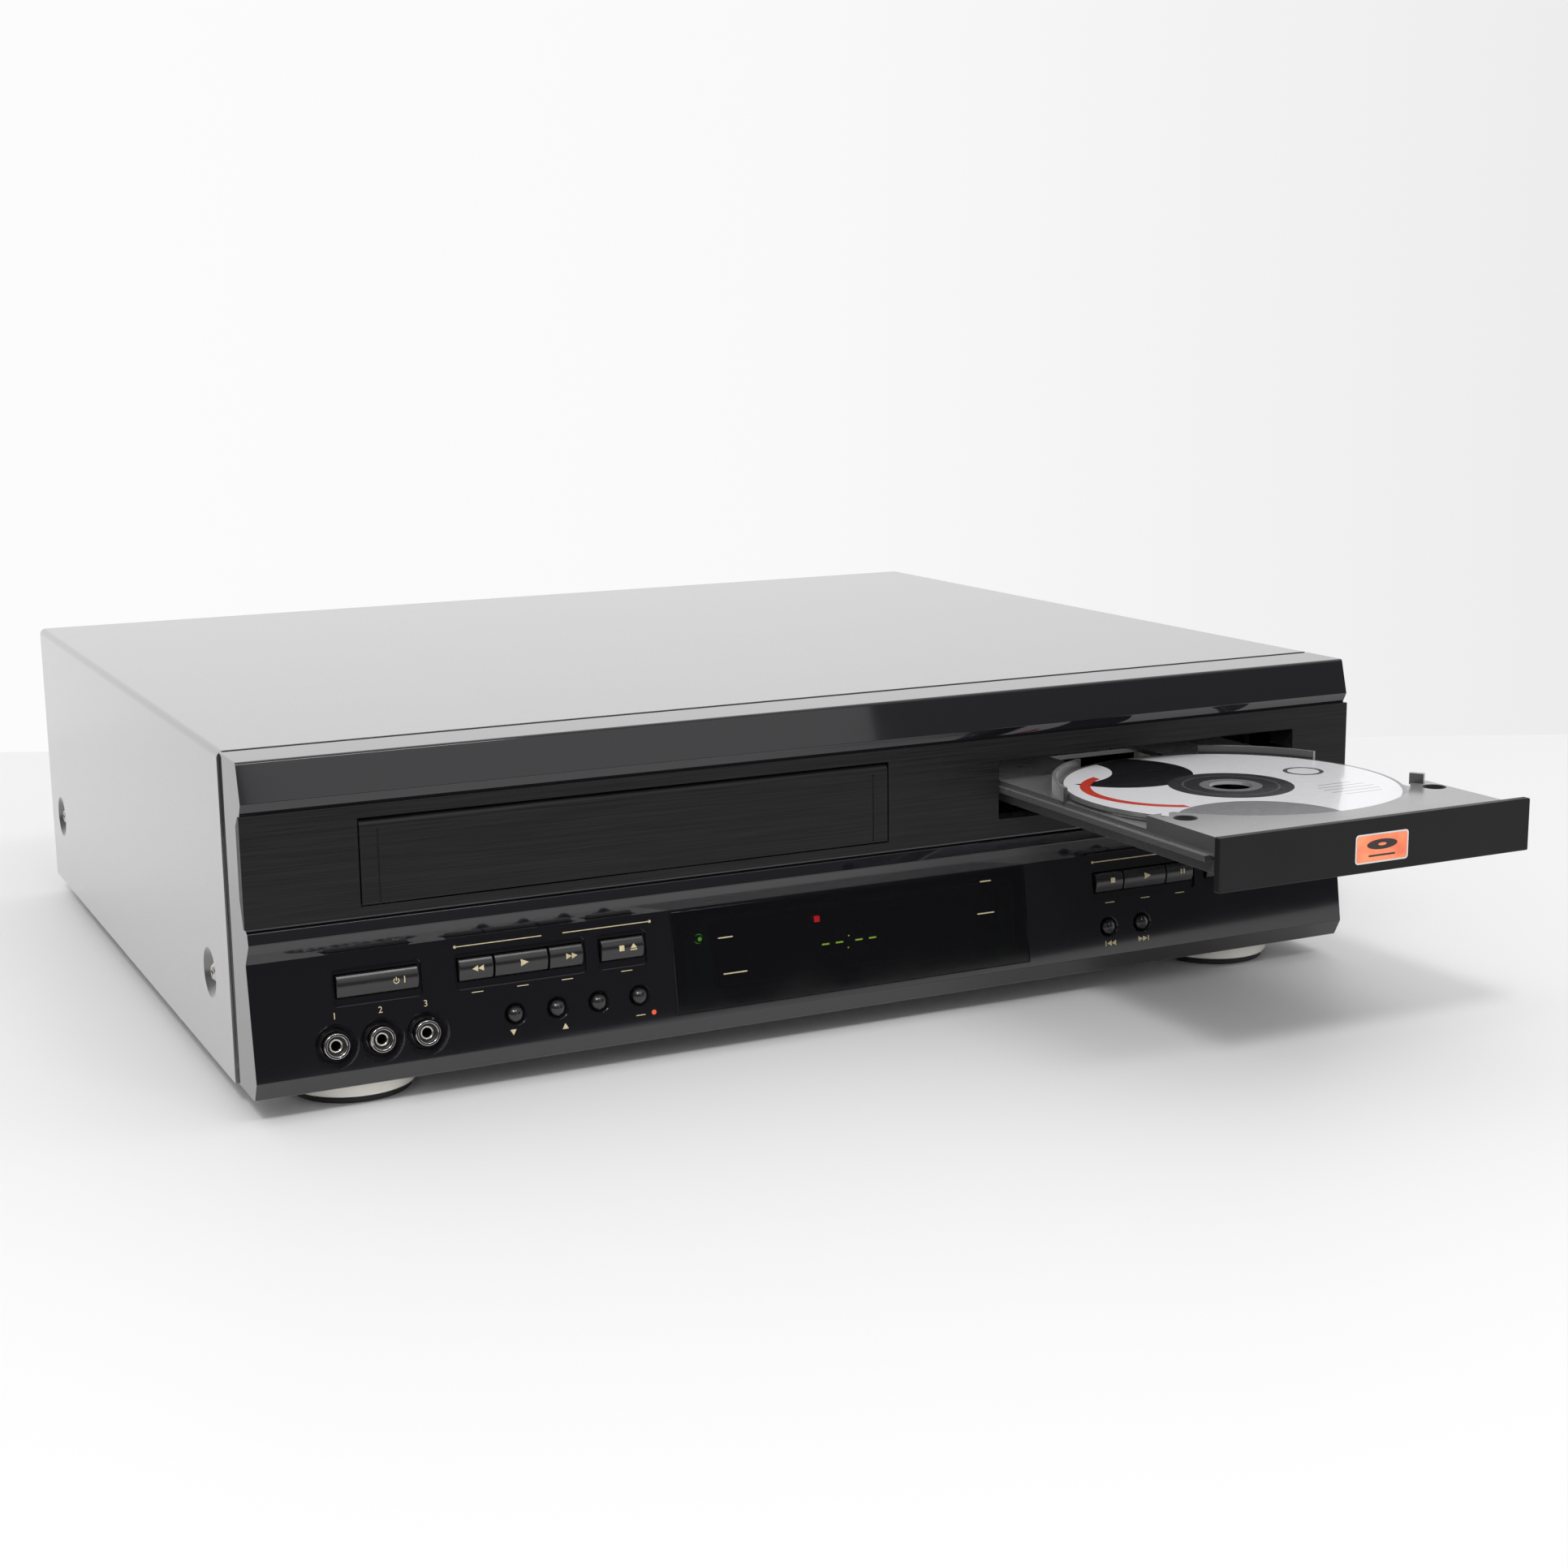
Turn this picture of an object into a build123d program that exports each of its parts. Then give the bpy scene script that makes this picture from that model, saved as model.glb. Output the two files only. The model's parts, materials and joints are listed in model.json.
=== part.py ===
"""A combined disc and cassette player for the shelf, with its disc tray standing open.

Frame: X to the right, Y to the back, Z up. The floor under the feet is Z = 0, X = 0 is the
middle of the case, and Y = 0 is half way between the open tray's front and the rear sockets.
All sizes are in millimetres.
"""
from build123d import *
import math
import os

os.makedirs("parts", exist_ok=True)

# ---------------------------------------------------------------- driving sizes

# Fits used all over the player
fit_gap = 0.3            # air between two loose pieces
pin_gap = 0.05           # radial play of a pin or shaft in its bore
sheet = 0.8              # steel sheet of the cover, chassis and rear panel
screw_radius = 1.5
screw_head_radius = 3.2
screw_head_height = 2.2
screw_length = 8.0
screw_gap = 0.1

# Folded steel cover
case_width = 430.0
cover_depth = 333.5
fold_radius = 2.5
top_margin = 0.3         # the cover stands this far above the front
rear_lip = 10.0
side_seat_radius = 8.7   # pressed screw seats in the cover's sides
side_seat_floor = 6.0
side_seat_depth = 3.0
side_seat_height = 30.3
side_seat_front = 28.8
side_seat_rear = 24.0

# Chassis tray and rear panel
chassis_lift = 1.0       # chassis floor above the cover's lower edge
chassis_flange = 44.0
jack_reach = 6.5         # rear sockets stand out of the cover's back

# Feet
foot_height = 8.0
foot_radius = 21.7
foot_ring = 5.0
foot_pad_inset = 1.8
foot_boss_radius = 4.5   # meets the chassis behind the moulded front
foot_inset = 40.0        # feet stand this far in from the case's sides
front_foot_back = 5.3    # front feet's centre behind the cover's front edge
rear_foot_front = 45.0

# Moulded front: reaches are measured forward from the cover's front edge
bezel_inset = 0.8        # the front is this much narrower than the cover on each side
bezel_wall = 2.5
bezel_lift = 0.5
sill_height = 6.5
sill_reach = 22.5
panel_foot_reach = 26.0
panel_height = 37.8
panel_top_reach = 20.4
soffit_height = 7.3
lip_reach = 25.6
bevel_height = 3.7
face_reach = 24.7        # brushed trim panel, the closed tray and the cassette door
trim_margin_low = 3.1    # trim panel below and above the cassette opening
trim_margin_high = 4.2
trim_thickness = 1.5
trim_return = 4.5
trim_return_wall = 0.7
brow_height = 3.8
brow_reach = 24.9
band_height = 12.8
band_top_reach = 21.5

# Cassette side
cassette_center = -82.0
cassette_width = 188.0
cassette_height = 25.0
cassette_play = 0.7
opening_side_play = 0.75
opening_height = 28.8
door_gap = 0.5
door_wall = 2.0
door_roll = 2.8          # radius of the door's rolled upper edge, round its pins
door_pin_radius = 1.0
door_pin_length = 2.0
door_open_angle = 78.0
throat_depth = 12.0
throat_wall = 2.5

# Disc side
tray_center = 123.8
disc_radius = 60.0
disc_thickness = 1.2
disc_hole_radius = 7.5
slot_side_play = 2.0     # round the tray's door
slot_play_low = 0.5
slot_play_high = 3.3
tray_door_width = 126.6
tray_door_height = 17.8
tray_door_wall = 3.0
slot_lift = 3.4          # slot's lower edge above the cassette opening's lower edge
tray_travel = 129.0
disc_behind_door = 79.7  # disc centre behind the door's front face
tray_length = 180.7      # door's front face to the tray's rear end
tray_half_width = 60.5
deck_below_door_top = 1.1
recess_radius = 61.2
recess_depth = 4.6
tray_floor_wall = 1.8
deck_length = 44.0       # raised front deck, from the door's front face
rail_half_width = 62.5
rail_wall = 2.0
rail_drop = 1.7          # rail's top below the recess floor
tray_hole_radius = 4.15

# Tray drive: a rack under the tray, a pinion and a belt-driven gear
tooth_module = 1.25
pinion_teeth = 16
large_teeth = 36
small_teeth = 12
gear_width = 4.0
tooth_share = 0.36       # part of the pitch that a tooth fills
pulley_radius = 12.0
motor_pulley_radius = 4.0
motor_reach = 36.0       # motor's shaft from the belt-driven gear
rack_length = 150.0
rack_wall = 3.0

# Keys
key_height = 7.3
key_bulge = 1.3
key_lift = 27.5          # row of keys, measured up the sloping panel from its foot
key_travel = 0.8
key_gap = 0.6
key_play = 0.35
end_key_width = 11.8
middle_key_width = 18.5
single_key_width = 15.3
power_key_width = 27.2
window_margin_side = 1.3
window_margin_top = 2.0
window_margin_foot = 2.9
window_recess = 1.0
power_key_inset = 41.6    # these stand this far in from the front's left end
cassette_keys_inset = 67.6
disc_keys_back = 23.0     # disc keys start this far left of the tray's middle
single_window_step = 50.0
button_radius = 2.75
button_lift = 10.6
button_pitch = 14.8
button_dish_radius = 4.0
cassette_buttons_step = 19.7   # first round button after the start of its row of keys
disc_buttons_step = 6.1

# Front sockets
jack_pitch = 15.15
jack_radius = 4.15
jack_bore = 1.6
jack_lift = 8.6
jack_inset = 26.7
jack_dish_radius = 7.4
jack_dish_depth = 2.6

# Display
window_inset = 144.9      # from the front's left end
window_width = 141.1
window_foot = 2.0
window_height = 35.6
window_wall = 1.2

# Front circuit board
board_wall = 1.6
board_behind_panel = 11.5
switch_height = 3.4

# Cassette mechanism
deck_height = 30.0
deck_wall = 1.5
deck_width = 206.0
deck_front = 8.0
deck_depth = 220.0
holder_front = 7.0
holder_depth = 62.0
holder_wall = 1.2
holder_travel = 46.0
holder_pin_radius = 1.8
frame_gap = 2.6
drum_radius = 31.0
drum_back = 152.0
drum_tilt = 5.5
lower_drum_height = 16.3
upper_drum_height = 21.0
capstan_offset = 52.0
capstan_back = 122.0
capstan_radius = 1.5
flywheel_radius = 26.0
reel_offset = 46.0
reel_back = 58.0
reel_table_radius = 21.0
reel_hub_radius = 6.0
post_radius = 1.6
roller_radius = 7.0
pinch_arm_length = 17.2
pinch_angle = 20.0
guide_offset = 40.0
guide_back = 98.0
guide_travel = 38.0

# Disc mechanism
loader_wall = 2.0
loader_front = 2.0
loader_depth = 168.0
loader_floor = 46.0
turntable_radius = 16.0
sled_travel = 34.0
guide_rod_radius = 1.5
clamper_radius = 15.0

# Rear sockets and circuit boards
board_lift = 8.0         # boards above the chassis floor
rear_jacks_inset = 92.0   # from the main board's right end
board_end_gap = 11.0      # boards end this far inside the case
power_board_width = 130.0
boards_gap = 12.0         # air between the power board and the main board
rear_jacks_lift = 26.0    # middle of the socket rows above the board
rear_jack_pitch = 16.0
rear_jack_rise = 18.0
collar_reach = 1.0       # socket collars stand this far out of the rear panel
collar_wall = 0.6
socket_recess = 2.0
rear_bore_depth = 10.0
aerial_inset = 42.0       # from the main board's left end
aerial_lift = 14.0
aerial_pitch = 20.0
aerial_radius = 4.75
aerial_bore = 0.7
inlet_inset = 18.0        # from the power board's left end
inlet_width = 27.0
inlet_depth = 20.0
inlet_lift = 12.0
inlet_pin_radius = 1.2
inlet_pin_pitch = 8.6

# ---------------------------------------------------------------- derived places

open_door_reach = face_reach + tray_travel
seam_y = (open_door_reach - cover_depth - jack_reach) / 2
rear_y = seam_y + cover_depth
cover_base = foot_height

foot_spread = case_width - 2 * foot_inset
bezel_width = case_width - 2 * bezel_inset
bezel_left = -bezel_width / 2
power_key_center = bezel_left + power_key_inset
cassette_keys_start = bezel_left + cassette_keys_inset
disc_keys_start = tray_center - disc_keys_back
cassette_buttons_start = cassette_keys_start + cassette_buttons_step
disc_buttons_start = disc_keys_start + disc_buttons_step
jack_start = bezel_left + jack_inset
window_left = bezel_left + window_inset
bezel_base = cover_base + bezel_lift
panel_foot_z = bezel_base + sill_height
panel_top_z = panel_foot_z + panel_height
lip_z = panel_top_z + soffit_height
bevel_top_z = lip_z + bevel_height
trim_base = bevel_top_z + 1.3
opening_base = trim_base + trim_margin_low
opening_top = opening_base + opening_height
trim_top = opening_top + trim_margin_high
brow_z = trim_top + brow_height
bezel_top = brow_z + band_height
cover_top = bezel_top + top_margin
cover_height = cover_top - cover_base

trim_back = seam_y - face_reach + trim_thickness
face_y = seam_y - face_reach

opening_width = cassette_width + 2 * cassette_play + 2 * opening_side_play
slot_base = opening_base + slot_lift
slot_width = tray_door_width + 2 * slot_side_play
slot_height = tray_door_height + slot_play_low + slot_play_high
slot_top = slot_base + slot_height

chassis_floor = cover_base + chassis_lift
chassis_top = chassis_floor + sheet
chassis_half = case_width / 2 - side_seat_depth - sheet
seat_z = cover_base + side_seat_height
side_seats = [seam_y + side_seat_front, rear_y - side_seat_rear]

panel_slope = math.atan2(panel_foot_reach - panel_top_reach, panel_height)
panel_length = math.hypot(panel_foot_reach - panel_top_reach, panel_height)
panel_out = Vector(0, -math.cos(panel_slope), math.sin(panel_slope))
panel_up = Vector(0, math.sin(panel_slope), math.cos(panel_slope))
panel_plane = Plane(
    origin=(0, seam_y - panel_foot_reach, panel_foot_z), x_dir=(1, 0, 0), z_dir=panel_out
)


def front_plane(y):
    """A sketch plane across the player at this Y, seen from the front."""
    return Plane.XZ.offset(-y)


def panel_point(x, lift, out=0.0):
    """A point on the sloping key panel: X, distance up the slope and out of the face."""
    return panel_plane.origin + Vector(x, 0, 0) + panel_up * lift + panel_out * out


def panel_at(x, lift, out=0.0):
    """The key panel's plane, moved to a point on it."""
    return Plane(origin=panel_point(x, lift, out), x_dir=(1, 0, 0), z_dir=panel_out)


def panel_section(x):
    """A plane across the key panel: local x runs up the slope, local y out of the face."""
    return Plane(origin=panel_point(x, 0), x_dir=panel_up, z_dir=(1, 0, 0))


def radial_plane(x, lift):
    """A plane through a round button's axis: local x to the right, local y out."""
    return Plane(origin=panel_point(x, lift), x_dir=(1, 0, 0), z_dir=panel_up * -1)


# Where the keys and windows stand along the panel: name, centre, width
window_height_keys = key_height + window_margin_top + window_margin_foot
window_lift = key_lift + (window_margin_top - window_margin_foot) / 2
row_width = 2 * end_key_width + middle_key_width + 2 * key_gap
row_window_width = row_width + 2 * window_margin_side
single_window_width = single_key_width + 2 * window_margin_side
power_window_width = power_key_width + 2 * window_margin_side


def row_keys(start, names):
    """Three keys side by side in one window, and a single key in the window after it."""
    first = start + window_margin_side + end_key_width / 2
    middle = first + end_key_width / 2 + key_gap + middle_key_width / 2
    last = middle + middle_key_width / 2 + key_gap + end_key_width / 2
    single = start + single_window_step + single_window_width / 2
    centers = [first, middle, last, single]
    widths = [end_key_width, middle_key_width, end_key_width, single_key_width]
    return list(zip(names, centers, widths))


keys = [("power_key", power_key_center, power_key_width)]
keys += row_keys(
    cassette_keys_start, ["rewind_key", "vcr_play_key", "fast_forward_key", "stop_eject_key"]
)
keys += row_keys(
    disc_keys_start, ["disc_stop_key", "disc_play_key", "disc_pause_key", "open_close_key"]
)
key_windows = [(power_key_center, power_window_width, power_key_width)]
for start in (cassette_keys_start, disc_keys_start):
    key_windows.append((start + row_window_width / 2, row_window_width, row_width))
    single_center = start + single_window_step + single_window_width / 2
    key_windows.append((single_center, single_window_width, single_key_width))

round_buttons = []
for index, name in enumerate(["channel_down_button", "channel_up_button", "vcr_tv_button",
                              "record_button"]):
    round_buttons.append((name, cassette_buttons_start + index * button_pitch))
for index, name in enumerate(["skip_back_button", "skip_forward_button"]):
    round_buttons.append((name, disc_buttons_start + index * button_pitch))

jack_centers = [jack_start + index * jack_pitch for index in range(3)]

# Front circuit board: its ends, and the posts of the moulded front that carry it
board_left = bezel_left + 11.2
board_right = -bezel_left - 28.2
post_places = [
    cassette_keys_start + 0.6,
    window_left - 3.2,
    window_left + window_width + 4.2,
    board_right - 4.0,
]
switch_top = switch_height - board_behind_panel
stem_end = switch_top + key_travel + fit_gap

# ---------------------------------------------------------------- case

with BuildPart() as top_cover:
    with BuildSketch(front_plane(seam_y)):
        with Locations((0, cover_base + cover_height / 2)):
            Rectangle(case_width, cover_height)
        with Locations((0, cover_base)):
            RectangleRounded(
                case_width - 2 * sheet,
                2 * (cover_height - sheet),
                fold_radius - sheet,
                mode=Mode.SUBTRACT,
            )
    extrude(amount=-cover_depth)
    folds = top_cover.edges().filter_by(Axis.Y).filter_by(
        lambda edge: edge.center().Z > cover_top - 0.01 and abs(edge.center().X) > case_width / 2 - 0.01
    )
    fillet(folds, fold_radius)
    # down-turned lip along the back, for the rear screws
    with BuildSketch(front_plane(rear_y)):
        with Locations((0, cover_top - rear_lip / 2)):
            Rectangle(case_width - 2 * fold_radius, rear_lip)
    extrude(amount=sheet)
    # pressed seats for the four side screws
    for side in (-1, 1):
        for seat_y in side_seats:
            seat = Plane(origin=(side * case_width / 2, seat_y, seat_z), z_dir=(side, 0, 0))
            with Locations(seat):
                Cone(
                    side_seat_floor + sheet,
                    side_seat_radius,
                    side_seat_depth + sheet,
                    align=(Align.CENTER, Align.CENTER, Align.MAX),
                )
            with Locations(seat):
                Cone(
                    side_seat_floor,
                    side_seat_radius,
                    side_seat_depth,
                    align=(Align.CENTER, Align.CENTER, Align.MAX),
                    mode=Mode.SUBTRACT,
                )
                Hole(screw_radius + screw_gap, depth=2 * side_seat_depth)
    rear_screws_x = [-case_width / 3, 0, case_width / 3]
    rear_screw_z = cover_top - rear_lip / 2 - sheet / 2
    for screw_x in rear_screws_x:
        with Locations(Plane(origin=(screw_x, rear_y, rear_screw_z), z_dir=(0, 1, 0))):
            Hole(screw_radius + screw_gap, depth=2 * sheet)
top_cover.part.label = "top_cover"
export_step(top_cover.part, "parts/top_cover.step")

# Feet: a bright ring over a dark pad, screwed up into the chassis
foot_places = {
    "foot_front_left": (-foot_spread / 2, seam_y + front_foot_back),
    "foot_front_right": (foot_spread / 2, seam_y + front_foot_back),
    "foot_rear_left": (-foot_spread / 2, rear_y - rear_foot_front),
    "foot_rear_right": (foot_spread / 2, rear_y - rear_foot_front),
}

with BuildPart() as bottom_chassis:
    chassis_back = rear_y - 2 * sheet
    with BuildSketch(front_plane(seam_y + fit_gap)):
        with Locations((0, chassis_floor + chassis_flange / 2)):
            Rectangle(2 * chassis_half, chassis_flange)
        with Locations((0, chassis_top + chassis_flange)):
            Rectangle(2 * (chassis_half - sheet), 2 * chassis_flange, mode=Mode.SUBTRACT)
    extrude(amount=-(chassis_back - seam_y - fit_gap))
    # rolled beads that stiffen the floor
    with BuildSketch(Plane.XY.offset(chassis_top)):
        with GridLocations(0, cover_depth / 3, 1, 2):
            with Locations((0, seam_y + cover_depth / 2)):
                SlotOverall(case_width * 0.6, 6)
    extrude(amount=sheet)
    # cooling slots
    with BuildSketch(Plane.XY.offset(chassis_floor)):
        with Locations((-case_width / 4, rear_y - 75), (case_width / 4, rear_y - 75)):
            with GridLocations(9, 0, 8, 1):
                SlotOverall(34, 3.6, rotation=90)
    extrude(amount=2 * sheet, mode=Mode.SUBTRACT)
    for foot_x, foot_y in foot_places.values():
        with Locations((foot_x, foot_y, chassis_top)):
            Hole(screw_radius + screw_gap, depth=2 * sheet)
    for side in (-1, 1):
        for seat_y in side_seats:
            with Locations(Plane(origin=(side * chassis_half, seat_y, seat_z), z_dir=(side, 0, 0))):
                Hole(screw_radius + screw_gap, depth=2 * sheet)
bottom_chassis.part.label = "bottom_chassis"
export_step(bottom_chassis.part, "parts/bottom_chassis.step")

for foot_name, (foot_x, foot_y) in foot_places.items():
    pad_radius = foot_radius - foot_pad_inset
    with BuildPart() as foot:
        with BuildSketch(Plane.XZ.offset(-foot_y)):
            with BuildLine():
                Polyline(
                    (foot_x, 0),
                    (foot_x + pad_radius, 0),
                    (foot_x + pad_radius, foot_height - foot_ring - 1.0),
                    (foot_x + foot_radius - 0.8, foot_height - foot_ring - 1.0),
                    (foot_x + foot_radius, foot_height - foot_ring),
                    (foot_x + foot_radius, bezel_base - fit_gap),
                    (foot_x + foot_boss_radius, bezel_base - fit_gap),
                    (foot_x + foot_boss_radius, chassis_floor),
                    (foot_x, chassis_floor),
                    close=True,
                )
            make_face()
        revolve(axis=Axis((foot_x, foot_y, 0), (0, 0, 1)))
        # stepped hole for the fixing screw
        with Locations(Plane(origin=(foot_x, foot_y, 0), z_dir=(0, 0, -1))):
            CounterBoreHole(
                screw_radius + screw_gap, screw_head_radius + fit_gap, foot_height / 2
            )
    foot.part.label = foot_name
    export_step(foot.part, "parts/" + foot_name + ".step")

# ---------------------------------------------------------------- moulded front

bezel_outline = [
    (seam_y - fit_gap, bezel_base),
    (seam_y - sill_reach, bezel_base),
    (seam_y - panel_foot_reach, panel_foot_z),
    (seam_y - panel_top_reach, panel_top_z),
    (seam_y - lip_reach, lip_z),
    (seam_y - face_reach, bevel_top_z),
    (trim_back, bevel_top_z + 0.5),
    (trim_back, trim_top + 0.6),
    (seam_y - brow_reach, brow_z),
    (seam_y - band_top_reach, bezel_top),
    (seam_y - fit_gap, bezel_top),
]


# moulded edges that catch the light: where they stand, and their radius
bezel_rounds = {
    1: 1.2,
    2: 0.6,
    4: 0.8,
    5: 0.35,
    8: 0.5,
    9: 1.2,
}

door_pin_y = face_y + door_roll
door_pin_z = opening_top - door_gap - door_roll

with BuildPart() as front_bezel:
    with BuildSketch(Plane.YZ.offset(bezel_left)):
        with BuildLine():
            Polyline(*bezel_outline, close=True)
        make_face()
    extrude(amount=bezel_width)
    for corner, radius in bezel_rounds.items():
        corner_point = Vector(0, *bezel_outline[corner])
        long_edges = front_bezel.edges().filter_by(Axis.X)
        fillet(long_edges.sort_by_distance(corner_point)[0], radius)
    # hollow it from behind, leaving an even wall
    with BuildSketch(Plane.YZ.offset(bezel_left + bezel_wall)):
        with BuildLine():
            Polyline(*bezel_outline, close=True)
        make_face()
        offset(amount=-bezel_wall, mode=Mode.REPLACE)
        inner_height = bezel_top - bezel_base - 2 * bezel_wall
        with Locations((seam_y - bezel_wall, (bezel_top + bezel_base) / 2)):
            Rectangle(2 * bezel_wall + 2, inner_height)
    extrude(amount=bezel_width - 2 * bezel_wall, mode=Mode.SUBTRACT)
    # walls behind the key panel's windows, sockets and dishes
    for jack_x in jack_centers:
        with Locations(panel_at(jack_x, jack_lift)):
            Cylinder(
                jack_dish_radius + 0.9,
                jack_dish_depth + bezel_wall,
                align=(Align.CENTER, Align.CENTER, Align.MAX),
            )
    # tunnels behind the two big openings
    with BuildSketch(front_plane(trim_back)):
        with Locations((cassette_center, (opening_base + opening_top) / 2)):
            Rectangle(opening_width + 2 * throat_wall, opening_height + 2 * throat_wall)
        with Locations((tray_center, (slot_base + slot_top) / 2)):
            Rectangle(slot_width + 2 * throat_wall, slot_height + 2 * throat_wall)
    extrude(amount=-throat_depth)
    with BuildSketch(front_plane(trim_back - 6)):
        with Locations((cassette_center, (opening_base + opening_top) / 2)):
            Rectangle(opening_width, opening_height)
        with Locations((tray_center, (slot_base + slot_top) / 2)):
            RectangleRounded(slot_width, slot_height, 0.8)
    extrude(amount=-(throat_depth + 8), mode=Mode.SUBTRACT)
    # hinge holes for the cassette door's pins
    for side in (-1, 1):
        wall_x = cassette_center + side * opening_width / 2
        with Locations(Plane(origin=(wall_x, door_pin_y, door_pin_z), z_dir=(-side, 0, 0))):
            Hole(door_pin_radius + pin_gap, depth=door_pin_length + fit_gap)
    # key windows: a shallow recess with an opening for the keys in its floor
    for window_x, window_width_keys, keys_width in key_windows:
        with BuildSketch(panel_at(window_x, window_lift)):
            RectangleRounded(window_width_keys, window_height_keys, 1.6)
        extrude(amount=-window_recess, mode=Mode.SUBTRACT)
        with BuildSketch(panel_at(window_x, key_lift)):
            Rectangle(keys_width + 2 * key_play, key_height + 2 * key_play)
        extrude(amount=-2 * bezel_wall, mode=Mode.SUBTRACT)
    # round buttons: a dish with a hole
    for button_name, button_x in round_buttons:
        with Locations(panel_at(button_x, button_lift)):
            Cone(
                button_radius + key_play,
                button_dish_radius,
                1.0,
                align=(Align.CENTER, Align.CENTER, Align.MAX),
                mode=Mode.SUBTRACT,
            )
            Hole(button_radius + key_play, depth=2 * bezel_wall)
    # front sockets: a round dish with a hole for the sleeve
    for jack_x in jack_centers:
        with Locations(panel_at(jack_x, jack_lift)):
            Cone(
                jack_radius + 1.2,
                jack_dish_radius,
                jack_dish_depth,
                align=(Align.CENTER, Align.CENTER, Align.MAX),
                mode=Mode.SUBTRACT,
            )
            Hole(jack_radius + fit_gap, depth=3 * bezel_wall)
    # display: a seat for the window and an opening behind it
    window_center = window_left + window_width / 2
    with BuildSketch(panel_at(window_center, window_foot + window_height / 2)):
        Rectangle(window_width, window_height)
    extrude(amount=-window_wall, mode=Mode.SUBTRACT)
    with BuildSketch(panel_at(window_center, window_foot + window_height / 2)):
        Rectangle(window_width - 10, window_height - 8)
    extrude(amount=-2 * bezel_wall, mode=Mode.SUBTRACT)
    # clips that reach back under the cover and over the chassis floor
    clip_z = bezel_top - bezel_wall
    clip_width = 16
    clip_pitch = bezel_width / 4.3
    for index in range(4):
        clip_x = (index - 1.5) * clip_pitch
        with BuildSketch(Plane.YZ.offset(clip_x - clip_width / 2)):
            with BuildLine():
                Polyline(
                    (seam_y - 8, clip_z + 0.5),
                    (seam_y + 8, clip_z),
                    (seam_y + 8, clip_z - 3),
                    (seam_y + 5, clip_z - 1.8),
                    (seam_y - 8, clip_z - 1.8),
                    close=True,
                )
            make_face()
        extrude(amount=clip_width)
    # posts that carry the circuit board
    for post_x in post_places:
        with BuildSketch(panel_at(post_x, 4.5, -bezel_wall + 0.2)):
            Circle(2.4)
        extrude(amount=-(board_behind_panel - bezel_wall + 0.2))
front_bezel.part.label = "front_bezel"
export_step(front_bezel.part, "parts/front_bezel.step")

# Brushed trim panel with its two openings and a short return at each end
with BuildPart() as trim_panel:
    trim_height = trim_top - trim_base
    trim_z = trim_base + trim_height / 2
    with BuildSketch(front_plane(face_y)):
        with Locations((0, trim_z)):
            Rectangle(bezel_width, trim_height)
        with Locations((cassette_center, (opening_base + opening_top) / 2)):
            Rectangle(opening_width, opening_height, mode=Mode.SUBTRACT)
        with Locations((tray_center, (slot_base + slot_top) / 2)):
            RectangleRounded(slot_width, slot_height, 0.8, mode=Mode.SUBTRACT)
    extrude(amount=-trim_thickness)
    for side in (-1, 1):
        start_x = side * bezel_width / 2
        with BuildSketch(Plane.YZ.offset(start_x)):
            with BuildLine():
                Polyline(
                    (face_y, trim_base),
                    (face_y, trim_top),
                    (face_y + trim_thickness, trim_top),
                    (face_y + trim_return, trim_top - 3.5),
                    (face_y + trim_return, trim_base + 9.0),
                    (face_y + trim_thickness, trim_base),
                    close=True,
                )
            make_face()
        extrude(amount=side * trim_return_wall)
trim_panel.part.label = "trim_panel"
export_step(trim_panel.part, "parts/trim_panel.step")

# Smoked display window, with a step that fits the opening behind its seat
with BuildPart() as display_window:
    window_middle = window_foot + window_height / 2
    with BuildSketch(panel_at(window_center, window_middle, -window_wall)):
        Rectangle(window_width - 0.3, window_height - 0.3)
    extrude(amount=window_wall)
    with BuildSketch(panel_at(window_center, window_middle, -window_wall)):
        Rectangle(window_width - 11, window_height - 9)
    extrude(amount=-0.8)
display_window.part.label = "display_window"
export_step(display_window.part, "parts/display_window.step")

# ---------------------------------------------------------------- keys and buttons

for key_name, key_x, key_width in keys:
    low = key_lift - key_height / 2
    high = key_lift + key_height / 2
    flange_out = -bezel_wall - fit_gap
    with BuildPart() as key:
        # the cap's face is an arc across the key, so that it shines along its length
        with BuildSketch(panel_section(key_x - key_width / 2)):
            with BuildLine():
                Line((low, flange_out), (low, -0.2))
                ThreePointArc((low, -0.2), (key_lift + 0.6, key_bulge), (high, 0.4))
                Line((high, 0.4), (high, flange_out))
                Line((high, flange_out), (low, flange_out))
            make_face()
        extrude(amount=key_width)
        # lip behind the panel that stops the key falling out
        with BuildSketch(panel_at(key_x, key_lift, flange_out)):
            Rectangle(key_width, key_height + 2.4)
        extrude(amount=-1.0)
        # stem to the switch
        with BuildSketch(panel_at(key_x, key_lift, flange_out - 1.0)):
            Rectangle(3.0, 3.0)
        extrude(amount=stem_end - (flange_out - 1.0))
    key.part.label = key_name
    export_step(key.part, "parts/" + key_name + ".step")

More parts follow.
